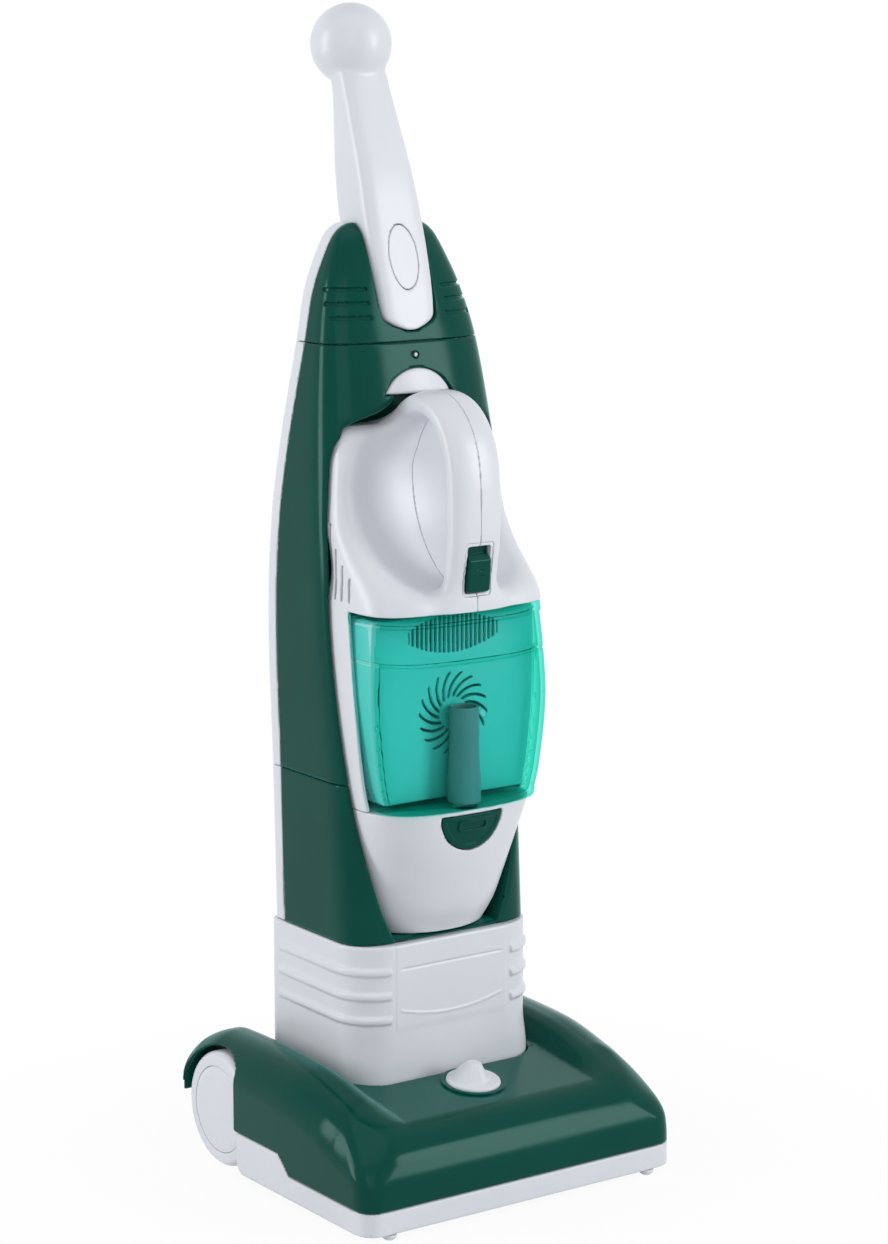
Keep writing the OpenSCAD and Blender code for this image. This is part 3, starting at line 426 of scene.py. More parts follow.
def lathe(name, profile, mat, body, *nodes, place=None, around=96):
    """A turned piece from a closed profile of radius and height, about +Z."""
    n = len(profile)
    points = []
    for i in range(around):
        a = 2 * math.pi * i / around
        for r, z in profile:
            points.append((r * math.cos(a), r * math.sin(a), z))
    faces = []
    for i in range(around):
        for k in range(n):
            here = i * n
            there = (i + 1) % around * n
            after = (k + 1) % n
            faces.append((here + k, there + k, there + after, here + after))
    obj = solid(name, points, faces, mat, body, nodes, None, place)
    obj.data.set_sharp_from_angle(angle=math.radians(38))
    return obj


def shift(x, y, z):
    """A move by millimetres."""
    return Matrix.Translation((x * MM, y * MM, z * MM))


# Sizes and places that several pieces share, in millimetres

SHELL = 2.6
SEAM = 0.2  # half of the gap between two shells
AXLE_Y, AXLE_Z = 57.4, 32.0
AXLE_HOLE = 3.15
KNOB_Y, KNOB_Z = -45.0, 56.5
SIDES = (("left", -1), ("right", 1))

# Columns of the tables of sections, after the height
HALF, FRONT, BACK, SQUARE, WIDEST = 1, 2, 3, 4, 5


def wall(outer, thick):
    """The outer skin of a field, of a given thickness."""
    return np.maximum(outer, -(outer + thick))


def trimmed(d, z, low, high):
    """A field that ends at two levels, with rounded edges."""
    return rmax(rmax(d, z - high, 0.5), low - z, 0.5)


def ridge(t):
    """1 where t is 0, falling off smoothly on both sides."""
    return np.exp(-t ** 2)


def axle_hole(y, z):
    return np.hypot(y - AXLE_Y, z - AXLE_Z) - AXLE_HOLE


def plan(x, y, half, front, back, r_front, r_back):
    """Rounded rectangle with one radius at the front and one at the back."""
    r = np.where(y < (front + back) / 2, r_front + 0 * y, r_back)
    qx = np.abs(x) - half + r
    qy = np.abs(y - (front + back) / 2) - (back - front) / 2 + r
    return np.hypot(np.maximum(qx, 0), np.maximum(qy, 0)) + np.minimum(np.maximum(qx, qy), 0) - r


def oval(rows, x, y, z):
    """The rounded section that a table gives at each height."""
    half = curve(rows, z, HALF)
    front = curve(rows, z, FRONT)
    back = curve(rows, z, BACK)
    middle = (front + back) / 2
    depth = (back - front) / 2
    return squircle(np.abs(x) / half, np.abs(y - middle) / depth, curve(rows, z, SQUARE), half, depth)


# Forms that several pieces follow: the upright, the hand vacuum and its pocket

BODY = [
    [134.0, 58.8, -22.0, 65.5, 4.7, 12],
    [221.0, 59.49, -17.05, 67.0, 4.2, 16],
    [300.0, 60.0, -13.0, 69.5, 3.6, 24],
    [355.1, 59.5, -9.09, 66.5, 3.4, 28],
    [399.5, 56.4, -1.04, 61.5, 3.3, 30],
    [453.0, 50.0, 10.0, 54.5, 3.2, 33],
    [481.1, 43.33, 18.4, 56.0, 3.0, 36],
    [500.0, 35.6, 24.91, 56.0, 2.8, 38],
    [514.0, 28.5, 31.0, 55.0, 2.6, 39.5],
]
REAR = 14.5
REAR_SQUARE = 5.0


def parting(z):
    """Where the front shells meet the rear ones."""
    return curve(BODY, z, BACK) - REAR


def body(x, y, z):
    half = curve(BODY, z, HALF)
    widest = curve(BODY, z, WIDEST)
    depth = widest - curve(BODY, z, FRONT)
    meet = parting(z)
    across = np.abs(x) / half
    fore = squircle(across, np.maximum(widest - y, 0) / depth, curve(BODY, z, SQUARE), half, depth)
    aft = squircle(across, np.maximum(y - meet, 0) / REAR, REAR_SQUARE, half, REAR)
    return np.where(y < meet, fore, aft)


HAND = [
    [136.8, 33.0, -23.0, 19.0, 2.0],
    [150.0, 39.0, -30.5, 23.0, 2.0],
    [165.0, 43.5, -36.0, 26.0, 2.0],
    [186.0, 48.5, -42.5, 28.0, 2.1],
    [208.3, 52.0, -45.5, 28.5, 2.7],
    [240.0, 54.5, -46.0, 29.0, 4.5],
    [280.0, 55.8, -46.0, 29.5, 4.2],
    [316.0, 56.0, -45.0, 29.5, 4.0],
    [330.0, 55.6, -41.0, 29.5, 2.8],
    [345.0, 55.2, -26.0, 29.5, 2.4],
    [360.0, 54.8, -11.0, 29.5, 2.8],
    [390.0, 51.8, -4.0, 29.0, 3.2],
    [399.0, 49.8, 0.0, 28.5, 3.0],
    [413.0, 46.4, 5.0, 27.0, 2.8],
]


def hand(x, y, z):
    return oval(HAND, x, y, z)


DOCK_ROOM = 0.7
DOCK_FOOT, DOCK_TOP = 136.2, 426.8
DOCK = [[row[0], row[HALF] + DOCK_ROOM] for row in HAND if row[0] < 400]
DOCK[0][0] = 136.0
DOCK += [
    [405.0, 47.2], [410.0, 44.8], [413.5, 37.5], [417.0, 26.0], [421.0, 18.5], [424.5, 15.0], [426.5, 11.0],
]
LINING = 1.8
LINING_BACK = 18.4
MOUTH_ROUND = 3.2


def dock(x, z):
    """Outline, from the front, of the pocket that the hand vacuum stands in."""
    probe = 0.5
    half = curve(DOCK, z, HALF)
    lean = (curve(DOCK, z + probe, HALF) - curve(DOCK, z - probe, HALF)) / (2 * probe)
    d = (np.abs(x) - half) / np.sqrt(1 + lean * lean)
    return rmax(rmax(d, z - DOCK_TOP, 2.0), DOCK_FOOT - z, 0.2)


def front_shell(x, y, z, low, high):
    outer = body(x, y, z)
    pocket = dock(x, z)
    lining = np.maximum(np.maximum(outer + 0.4, pocket - LINING), y - LINING_BACK)
    d = np.minimum(wall(outer, SHELL), lining)
    d = rmax(d, y - parting(z) + SEAM, 0.5)
    d = trimmed(d, z, low, high)
    return np.maximum(cut(d, pocket, 0.5), cut(outer, pocket, MOUTH_ROUND))


SCREW_X, SCREW_HOLE = 40.0, 3.7


def rear_shell(x, y, z, low, high, screws):
    d = rmax(wall(body(x, y, z), SHELL), parting(z) + SEAM - y, 0.5)
    d = trimmed(d, z, low, high)
    for level in screws:
        d = cut(d, np.hypot(np.abs(x) - SCREW_X, z - level) - SCREW_HOLE, 0.4)
    return d


# Upright shells

LOWER = (134.4, 220.75)
MAIN = (221.25, 452.75)
RELEASE_Z, RELEASE_R, RELEASE_FLAT = 415.2, 23.7, 426.0
LENS_Y, LENS_Z, LENS_R, LENS_LONG = 16.4, 446.0, 1.8, 8.6
LENS_HOLE = 1.9


def lower_front(x, y, z):
    return front_shell(x, y, z, *LOWER)


def release_hole(x, z, room):
    disc = np.hypot(x, z - RELEASE_Z) - RELEASE_R - room
    return np.maximum(disc, RELEASE_FLAT - room - z)


def main_front(x, y, z):
    d = front_shell(x, y, z, *MAIN)
    d = cut(d, release_hole(x, z, 0.45), 0.6)
    return cut(d, np.hypot(x, z - LENS_Z) - LENS_HOLE, 0.3)


def lower_rear(x, y, z):
    return rear_shell(x, y, z, *LOWER, [165.0])


def main_rear(x, y, z):
    return rear_shell(x, y, z, *MAIN, [300.0, 415.0])


shape("lower_front", lower_front, (-61, -24, 132), (61, 62, 221), 1.2, GREEN, "upright", "lower_front_shell")
shape("main_front", main_front, (-62, -19, 221), (62, 62, 453), 1.2, GREEN, "upright", "main_front_shell")
shape("lower_rear", lower_rear, (-61, 48, 133), (61, 69, 221), 1.2, WHITE, "upright", "lower_rear_shell")
shape("main_rear", main_rear, (-62, 38, 221), (62, 71, 453), 1.2, WHITE, "upright", "main_rear_shell")


# Cap with its horns

HANDLE = [
    [459.0, 4.5, 10.5, 43.0, 4.0],
    [461.5, 11.3, 11.0, 44.0, 5.0],
    [464.5, 15.7, 11.6, 45.0, 6.0],
    [468.5, 17.0, 12.3, 46.0, 6.5],
    [482.0, 17.7, 15.0, 48.0, 6.5],
    [500.0, 18.2, 20.0, 51.5, 6.5],
    [516.0, 18.3, 24.7, 57.5, 6.0],
    [541.3, 17.3, 32.4, 63.3, 5.5],
    [579.8, 15.2, 47.4, 68.3, 4.0],
    [596.0, 14.6, 53.0, 73.3, 3.0],
]
HANDLE_FOOT = 458.9
CAP_FOOT, CAP_TOP = 453.25, 515.0
HORN_ROUND = 9.0
SLITS = ((466.2, 24.0), (473.7, 28.5), (481.0, 32.5))
SLIT_HALF, SLIT_DEEP = 1.0, 1.3
SLIT_START = 23.4
POCKET_BACK, POCKET_FOOT = 51.0, 492.0


def handle_gap(x, z, room):
    half = curve(HANDLE, z, HALF) + room
    return rmax(np.abs(x) - half, HANDLE_FOOT - room - z, 1.0)


def cap_outer(x, y, z):
    d = smax(body(x, y, z), z - CAP_TOP, HORN_ROUND)
    return rmax(d, CAP_FOOT - z, 0.5)


def cap_front(x, y, z):
    outer = cap_outer(x, y, z)
    d = rmax(outer, y - parting(z) + SEAM, 0.5)
    d = cut(d, handle_gap(x, z, 0.7), 0.6)
    for level, reach in SLITS:
        slit = rmax(np.abs(z - level) - SLIT_HALF, SLIT_START - np.abs(x), 0.8)
        slit = rmax(slit, y - reach, 0.8)
        d = cut(d, np.maximum(slit, -SLIT_DEEP - outer), 0.35)
    return d


def cap_rear(x, y, z):
    d = rmax(cap_outer(x, y, z), parting(z) + SEAM - y, 0.5)
    pocket = np.maximum(handle_gap(x, z, 0.8), np.minimum(y - POCKET_BACK, POCKET_FOOT - z))
    return cut(d, pocket, 0.6)


shape("cap_front", cap_front, (-51, 9, 453), (51, 45, 516), 0.9, GREEN, "upright", "cap_front")
shape("cap_rear", cap_rear, (-51, 38, 453), (51, 58, 516), 1.0, WHITE, "upright", "cap_rear")


# Handle with its ball and oval

BALL_Y, BALL_Z, BALL_R = 68.8, 608.0, 21.95
STEM_TOP = 604.0
INLAY_Z, INLAY_HALF, INLAY_TALL = 497.0, 9.0, 17.0
INLAY_ROOM = 0.12
INLAY_DEEP, GROOVE_DEEP = 3.5, 4.0


def inlay_line(x, z):
    return (np.hypot(x / INLAY_HALF, (z - INLAY_Z) / INLAY_TALL) - 1.0) * INLAY_HALF


def handle_outer(x, y, z):
    d = rmax(oval(HANDLE, x, y, z), HANDLE_FOOT - z, 1.5)
    d = np.maximum(d, z - STEM_TOP)
    ball = np.sqrt(x * x + (y - BALL_Y) ** 2 + (z - BALL_Z) ** 2) - BALL_R
    return smin(d, ball, 2.5)


def handle(x, y, z):
    groove = np.maximum(inlay_line(x, z) - INLAY_ROOM, y - curve(HANDLE, z, FRONT) - GROOVE_DEEP)
    return cut(handle_outer(x, y, z), groove, 0.3)


def inlay(x, y, z):
    d = rmax(handle_outer(x, y, z) + 0.1, inlay_line(x, z) + INLAY_ROOM, 0.4)
    return np.maximum(d, y - curve(HANDLE, z, FRONT) - INLAY_DEEP)


shape(
    "grip", handle, (-22.8, 9, 458), (22.8, 91.5, 631), 0.9, WHITE, "upright", "handle_left", "handle_right",
)
shape("grip_inlay", inlay, (-10, 12, 479), (10, 32, 515), 0.6, WHITE, "upright", "handle_inlay")


# Release button and indicator

RELEASE_FACE, RELEASE_BOW, RELEASE_SLOPE = 3.4, 0.006, 0.16
FLANGE_R, FLANGE_FRONT, FLANGE_BACK = 25.0, 10.6, 11.9
LENS_PROFILE = filleted([(0.0, 0.0), (LENS_R, 0.0), (LENS_R, 8.0), (1.0, 8.5), (0.0, LENS_LONG)], 0.4)


def release(x, y, z):
    r = np.hypot(x, z - RELEASE_Z)
    face = RELEASE_FACE + RELEASE_BOW * x * x + RELEASE_SLOPE * (z - RELEASE_FLAT)
    d = rmax(rmax(r - RELEASE_R, RELEASE_FLAT - z, 0.7), face - y, 1.6)
    flange = np.maximum(rmax(r - FLANGE_R, RELEASE_FLAT - z, 0.5), FLANGE_FRONT - y)
    return np.maximum(np.minimum(d, flange), y - FLANGE_BACK)


shape("release", release, (-24, 3, 425.5), (24, 12.5, 440.5), 0.55, WHITE, "release_button", "release_button")
lathe(
    "indicator", [(max(r, 0.001), z) for r, z in LENS_PROFILE], LENS, "upright", "indicator_lens",
    place=shift(0, LENS_Y, LENS_Z) @ Matrix.Rotation(math.pi / 2, 4, "X"), around=32,
)
# The pale spot at the lens's tip is a painted highlight.
painted_highlight_spot(LENS, (0, (LENS_Y - LENS_LONG) * MM, LENS_Z * MM), (0.60, 0.72, 0.68))


# Collar

COLLAR_HALF, COLLAR_FRONT, COLLAR_BACK = 59.8, -25.0, 66.5
COLLAR_FOOT, COLLAR_TOP = 46.0, 134.1
CORNER, CORNER_MORE, CORNER_FOOT, CORNER_SPAN = 19.0, 4.5, 58.0, 26.0
REAR_CORNER = 9.0
RIBS = (93.2, 106.6, 120.0)
RIB_PROUD, RIB_HALF, RIB_START, RIB_BACK = 1.5, 2.1, 38.5, 56.0
FACE_BACK = -6.0
TOP_LINE, TOP_LINE_HALF, TOP_LINE_DEEP = 120.5, 34.0, 0.5
LOW_LINE, LOW_LINE_HALF, LOW_LINE_PROUD, LOW_LINE_BOW = 92.6, 35.0, 0.45, 0.0045
PANEL_HALF, PANEL_FOOT, PANEL_PROUD = 37.0, 84.0, 0.35
LUG_R, LUG_TOP, LUG_IN, LUG_OUT = 9.0, 60.0, 46.0, 57.0


def collar(x, y, z):
    side = np.abs(x)
    corner = CORNER + CORNER_MORE * step((z - CORNER_FOOT) / CORNER_SPAN)
    ribbed = step((side - RIB_START) / 1.5) * step((RIB_BACK - y) / 3.0)
    proud = 0.0
    for level in RIBS:
        proud = proud + RIB_PROUD * np.exp(-np.power(np.abs(z - level) / RIB_HALF, 4.0))
    d = plan(x, y, COLLAR_HALF, COLLAR_FRONT, COLLAR_BACK, corner, REAR_CORNER) - proud * ribbed
    front = step((FACE_BACK - y) / 4.0)
    top_line = ridge((z - TOP_LINE) / 0.55) * step((TOP_LINE_HALF - side) / 2.0)
    smile = LOW_LINE + LOW_LINE_BOW * x * x
    low_line = ridge((z - smile) / 0.8) * step((LOW_LINE_HALF - side) / 3.0)
    panel = step((PANEL_HALF - side) / 1.4) * step((z - PANEL_FOOT) / 6.0)
    d = d + (TOP_LINE_DEEP * top_line - LOW_LINE_PROUD * low_line - PANEL_PROUD * panel) * front
    d = rmax(d, z - COLLAR_TOP, 1.2)
    d = rmax(d, COLLAR_FOOT - z, 1.5)
    lug = np.hypot(y - AXLE_Y, np.minimum(z - AXLE_Z, 0.0)) - LUG_R
    lug = np.maximum(np.maximum(lug, z - LUG_TOP), np.maximum(LUG_IN - side, side - LUG_OUT))
    return cut(smin(d, lug, 1.5), axle_hole(y, z), 0.2)


shape("neck", collar, (-62, -27, 22), (62, 67, 134.5), 0.95, WHITE, "upright", "collar")


# Base

BASE_HALF, BASE_FRONT, BASE_BACK = 102.0, -93.0, 93.0
LEAN_START, LEAN_COS, LEAN_SIN = 27.0, 0.9397, 0.342
CROWN = [
    [-93, 50.6], [-78, 52.9], [-60, 59.2], [-45, 64.2], [-7.5, 71.6], [65.4, 72.5], [82, 68.5], [93, 63.0],
]
PLATE_HALF, PLATE_BACK, PLATE_SLOPE = 62.0, -20.0, 0.1192
PLATE_TILT = math.radians(6.8)
CREASE_WIDE = 15.0
LINE_LOW, LINE_RISE, LINE_START, LINE_RAMP = 16.3, 9.7, -18.4, 10.9
LINE_STEP, LINE_STEP_AT, LINE_ROOM = 8.0, 57.0, 0.15
ROLL, ROLL_LESS, ROLL_SIDE, ROLL_FRONT = 22.0, 9.0, 98.0, -40.0
ARCH_R, ARCH_FRONT, ARCH_IN = 35.0, 37.0, 90.0
NECK_SLOT = (61.0, -26.4, 140.0, 20.5, 9.0)
KNOB_HOLE, KNOB_HOLE_FOOT = 8.3, 40.0
PAN_FOOT, PAN_FLOOR, PAN_BACK, PAN_LINE_END = 3.0, 5.5, 35.0, 40.0
BRIDGE_HALF, BRIDGE_FRONT, BRIDGE_BACK = 78, 28, 88
BRIDGE_WALL, BRIDGE_WALL_TOP = 72.0, 40
LIP_FRONT, LIP_TOP = 85.5, 14
WELL_OUT, WELL_FRONT = 99.4, 22.4


def base_plan(x, y, z):
    """The base from above, with a front that leans back by 20 degrees."""
    lean = LEAN_COS * (BASE_FRONT - y) + LEAN_SIN * (z - LEAN_START)
    front = smax(BASE_FRONT - y, lean, 3.0)
    side = smax(np.abs(x) - BASE_HALF, front, 13.0)
    return rmax(side, y - BASE_BACK, 4.0)


def deck_height(x, y):
    """Top of the base: a sloping plate in the middle and a rounded cheek on each side."""
    plate = KNOB_Z + PLATE_SLOPE * (np.minimum(y, PLATE_BACK) - KNOB_Y)
    crown = curve(CROWN, y, 1)
    u = (np.abs(x) - PLATE_HALF) / CREASE_WIDE
    t = np.clip(0.5 * (u + np.sqrt(u * u + 0.003)), 0.0, 1.0)
    return plate + (crown - plate) * (1.0 - (1.0 - t) ** 2)


def line_height(y):
    """Where the green cover meets the white pan."""
    ramp = LINE_LOW + LINE_RISE * np.clip((y - LINE_START) / LINE_RAMP, 0.0, 1.0)
    return ramp + LINE_STEP * (y > LINE_STEP_AT)


def cover_outer(x, y, z):
    e = 0.4
    top = deck_height(x, y)
    sx = (deck_height(x + e, y) - deck_height(x - e, y)) / (2 * e)
    sy = (deck_height(x, y + e) - deck_height(x, y - e)) / (2 * e)
    d = (z - top) / np.sqrt(1 + sx * sx + sy * sy)
    roll = ROLL - ROLL_LESS * step((ROLL_SIDE - np.abs(x)) / 24.0) * step((ROLL_FRONT - y) / 20.0)
    return rmax(d, base_plan(x, y, z), roll)


def arch(x, y, z):
    d = np.hypot(y - AXLE_Y, z - AXLE_Z) - ARCH_R
    return rmax(rmax(d, ARCH_FRONT - y, 2.0), ARCH_IN - np.abs(x), 0.5)


def base_cover(x, y, z):
    d = rmax(wall(cover_outer(x, y, z), SHELL), line_height(y) + LINE_ROOM - z, 0.5)
    d = cut(d, plan(x, y, *NECK_SLOT), 0.9)
    d = cut(d, arch(x, y, z), 0.7)
    hole = np.hypot(x, y - KNOB_Y) - KNOB_HOLE
    return cut(d, np.maximum(hole, KNOB_HOLE_FOOT - z), 0.3)


def base_pan(x, y, z):
    side = np.abs(x)
    rim = rmax(base_plan(x, y, 0.0), y - PAN_BACK, 1.0)
    heel = rmax(y - PAN_BACK, PAN_FOOT - z, 9.0)
    d = rmax(rmax(rim, PAN_FOOT - z, 1.4), heel, 0.8)
    d = rmax(d, z - line_height(np.minimum(y, PAN_LINE_END)) + LINE_ROOM, 0.5)
    d = cut(d, np.maximum(rim + SHELL, PAN_FLOOR - z), 0.4)
    low = (-BRIDGE_HALF, BRIDGE_FRONT, PAN_FOOT)
    deck = box(x, y, z, low, (BRIDGE_HALF, BRIDGE_BACK, PAN_FLOOR))
    walls = np.maximum(box(x, y, z, low, (BRIDGE_HALF, BRIDGE_BACK, BRIDGE_WALL_TOP)), BRIDGE_WALL - side)
    lip = box(x, y, z, (-BRIDGE_HALF, LIP_FRONT, PAN_FOOT), (BRIDGE_HALF, BRIDGE_BACK, LIP_TOP))
    d = np.minimum(np.minimum(d, deck), np.minimum(walls, lip))
    well = np.maximum(np.maximum(BRIDGE_HALF - side, side - WELL_OUT), WELL_FRONT - y)
    d = cut(d, well, 0.4)
    return cut(d, axle_hole(y, z), 0.2)


shape("hood", base_cover, (-103, -94, 16), (103, 94, 74), 1.2, GREEN, "base", "base_cover")
shape("tray", base_pan, (-103, -94, 2.5), (103, 94, 41), 1.2, WHITE, "base", "base_pan")


# Glides and wheels

GLIDE_X, GLIDE_Y = 85.0, -89.0
GLIDE = filleted([(0.001, 3.2), (0.001, 0.0), (2.6, 0.0), (4.0, 1.4), (4.0, 3.2)], 0.9)
WHEEL_X, HUB_X = 82.0, 96.9
WHEEL = filleted(
    [
        (3.2, 0.2), (8.0, 0.2), (29.0, 0.2), (32.0, 2.4), (32.0, 13.6),
        (29.6, 16.4), (24.25, 16.4), (24.25, 14.8), (3.2, 14.8),
    ],
    [0, 0, 0, 1.6, 2.4, 1.4, 0.3, 0.1, 0],
)
HUB = filleted([(0.001, 0.05), (24.0, 0.05), (24.0, 1.3), (21.0, 1.75), (0.001, 1.9)], [0, 0, 0.5, 0.6, 0])

for side, sign in SIDES:
    spot = shift(sign * GLIDE_X, GLIDE_Y, 0)
    lathe("glide_" + side, GLIDE, WHITE, "base", "front_glides", place=spot, around=40)
for side, sign in SIDES:
    turn = Matrix.Rotation(sign * math.pi / 2, 4, "Y")
    spot = shift(sign * WHEEL_X, AXLE_Y, AXLE_Z) @ turn
    lathe("wheel_disc_" + side, WHEEL, WHITE, "wheel_" + side, "wheel_" + side, place=spot, around=160)
    spot = shift(sign * HUB_X, AXLE_Y, AXLE_Z) @ turn
    lathe("wheel_hub_" + side, HUB, WHITE, "wheel_" + side, "hub_cap_" + side, place=spot, around=128)


# Height knob and its ring, on the sloping plate

PLATE = shift(0, KNOB_Y, KNOB_Z) @ Matrix.Rotation(PLATE_TILT, 4, "X")
RING = filleted(
    [
        (4.06, -7.7), (8.0, -7.7), (8.0, 0.02), (17.8, 0.02),
        (17.8, 1.2), (15.4, 1.2), (15.4, 0.3), (4.06, 0.3),
    ],
    [0, 0.5, 0, 0, 0.7, 0.5, 0.1, 0],
)
KNOB_R, KNOB_FOOT, KNOB_RIM, SWELL, SWELL_R = 15.0, 0.6, 2.0, 1.0, 15.2
STEM_R, STEM_FOOT, STEM_END = 4.0, -8.0, 3.0
PEAK, PEAK_FLAT, PEAK_FALL = 12.4, 12.0, 10.2
PEAK_X, PEAK_Y, PEAK_R, PEAK_WIDE = -0.4, 0.3, 3.4, 8.0
LEAN_X, LEAN_Y = 1.6, 1.1
FACET, FACET_NEAR = (-0.26, -0.966), 1.1

# Keeps the field near a true distance on the steep peak
PEAK_STEEP = 0.55


def knob(x, y, z):
    """A disc with a blunt leaning peak, which has one flat facet."""
    r = np.hypot(x, y)
    swell = np.sqrt(np.clip(1.0 - (r / SWELL_R) ** 2, 0.0, 1.0))
    t = 0.0 * r
    for _ in range(4):
        px = x - PEAK_X + LEAN_X * t
        py = y - PEAK_Y - LEAN_Y * t
        far = np.maximum(np.hypot(px, py), FACET_NEAR * (FACET[0] * px + FACET[1] * py))
        t = np.clip((far - PEAK_R) / PEAK_WIDE, -0.5, 1.4)
    top = smax(smin(PEAK - PEAK_FALL * t, PEAK_FLAT + 0 * t, 1.6), KNOB_RIM + SWELL * swell, 1.2)
    d = rmax((z - top) * PEAK_STEEP, r - KNOB_R, 0.7)
    d = np.maximum(d, KNOB_FOOT - z)
    return np.minimum(d, np.maximum(np.maximum(r - STEM_R, STEM_FOOT - z), z - STEM_END))


lathe("dial_ring", RING, GREEN, "base", "knob_ring", place=PLATE, around=128)
shape("dial", knob, (-15.5, -15.5, -8.5), (15.5, 15.5, 14), 0.5, WHITE, "knob", "height_knob", place=PLATE)


# Hand vacuum

LOOP = [
    (-39.0, 314.0), (-42.0, 335.0), (-44.7, 352.0), (-45.0, 370.0), (-44.0, 388.0), (-41.0, 401.0),
    (-34.5, 412.0), (-25.0, 419.5), (-13.0, 422.5), (-1.0, 419.0), (9.0, 410.0), (14.0, 403.0),
]
LOOP_HALF, LOOP_THICK, LOOP_SQUARE = 15.6, 6.7, 2.6


def spline(path, count):
    """Points on a smooth curve through a path."""
    p = np.array(path, float)
    t = np.concatenate([[0], np.cumsum(np.linalg.norm(np.diff(p, axis=0), axis=1))])
    s = np.linspace(0, t[-1], count)
    rows = [[t[i], p[i, 0], p[i, 1]] for i in range(len(t))]
    return np.stack([curve(rows, s, 1), curve(rows, s, 2)], 1)


LOOP_LINE = spline(LOOP, 70)


def loop(x, y, z):
    """A rounded bar along the loop's centre line."""
    y, z = np.broadcast_arrays(y, z)
    best = np.full(y.shape, 1e9)
    for a, b in zip(LOOP_LINE[:-1], LOOP_LINE[1:]):
        ey, ez = b - a
        t = np.clip(((y - a[0]) * ey + (z - a[1]) * ez) / (ey * ey + ez * ez), 0, 1)
        best = np.minimum(best, np.hypot(y - a[0] - t * ey, z - a[1] - t * ez))
    return squircle(np.abs(x) / LOOP_HALF, best / LOOP_THICK, LOOP_SQUARE, LOOP_HALF, LOOP_THICK)


BIN = [
    [208.8, 48.0, -48.0, -20.0],
    [225.0, 51.5, -51.5, -18.0],
    [262.0, 55.5, -54.5, -15.0],
    [290.0, 56.0, -51.5, -12.0],
    [315.0, 55.5, -46.5, -9.5],
]
CAVITY = [[208.0, -30.0], [311.0, -30.0], [319.0, -5.0], [335.0, 0.0], [345.0, 14.0], [430.0, 14.0]]
HAND_WALL = 2.4
HAND_FOOT, HAND_TOP, CAVITY_TOP = 208.5, 410.4, 400.0
SCOOP_Y, SCOOP_Z, SCOOP_R, SCOOP_WIDE, SCOOP_TALL = -48.0, 383.0, 59.5, 1.42, 1.05
LOOP_BLEND = 12.0
HALVES_ROOM = 0.06
BIN_SEAT_TOP, BIN_ROOM = 315.5, 0.4
RIM_HALF, RIM_Z, RIM_TALL, RIM_BACK, RIM_DEEP = 8.9, 338.2, 14.4, -30.0, 0.7
SWITCH_SLOT_HALF, SWITCH_SLOT_Z, SWITCH_SLOT_TALL = 7.3, 338.1, 12.6
SWITCH_FLOOR = -43.6
TAIL_ROOM = ((-7.7, -47.0, 344.0), (7.7, SWITCH_FLOOR, 355.4))
VENTS = ((9.0, 360.0), (3.2, 347.0), (-3.0, 339.0), (-10.0, 333.0))
VENT_FOOT, VENT_HALF, VENT_DEEP, VENT_IN = 320.0, 0.95, 14.0, -30.0
BATTERY_HOLE = ((-39.0, 25.4, 228.0), (39.0, 45.0, 294.0))


def cavity_front(z):
    return np.interp(z, [row[0] for row in CAVITY], [row[1] for row in CAVITY])


def hand_outer(x, y, z):
    d = rmax(hand(x, y, z), z - HAND_TOP, 8.0)
    scoop = np.sqrt((x / SCOOP_WIDE) ** 2 + (y - SCOOP_Y) ** 2 + ((z - SCOOP_Z) / SCOOP_TALL) ** 2) - SCOOP_R
    d = smax(d, -scoop, 6.0)
    return smin(d, loop(x, y, z), LOOP_BLEND)


def switch_place(d, x, y, z, outer):
    """A half of the hand vacuum with a shallow rim, a slot and room for the switch's tail."""
    rim = rmax(np.abs(x) - RIM_HALF, np.abs(z - RIM_Z) - RIM_TALL, 1.8)
    d = cut(d, np.maximum(np.maximum(rim, y - RIM_BACK), -RIM_DEEP - outer), 0.35)
    slot = rmax(np.abs(x) - SWITCH_SLOT_HALF, np.abs(z - SWITCH_SLOT_Z) - SWITCH_SLOT_TALL, 1.2)
    d = cut(d, np.maximum(slot, y - SWITCH_FLOOR), 0.3)
    return np.maximum(d, -box(x, y, z, *TAIL_ROOM))


def hand_half(x, y, z):
    outer = hand_outer(x, y, z)
    d = np.maximum(outer, HAND_FOOT - z)
    hollow = np.maximum(np.maximum(hand(x, y, z) + HAND_WALL, cavity_front(z) - y), z - CAVITY_TOP)
    d = np.maximum(d, -hollow)
    d = cut(d, np.maximum(y - curve(BIN, z, BACK) - BIN_ROOM, z - BIN_SEAT_TOP), 0.6)
    d = rmax(d, x + HALVES_ROOM, 0.2)
    d = switch_place(d, x, y, z, outer)
    for spot, top in VENTS:
        tall = np.abs(z - (VENT_FOOT + top) / 2) - (top - VENT_FOOT) / 2
        slit = rmax(np.abs(y - spot) - VENT_HALF, tall, 0.8)
        d = cut(d, np.maximum(np.maximum(slit, -VENT_DEEP - outer), x - VENT_IN), 0.15)
    return cut(d, box(x, y, z, *BATTERY_HOLE), 0.3)


left = shape("carry_left", hand_half, (-57, -57, 208), (0.6, 31, 433), 0.8, WHITE, "hand_vac", "hand_left")
mirrored(left, "carry_right", "hand_vac", "hand_right")


# Nozzle and bin latch

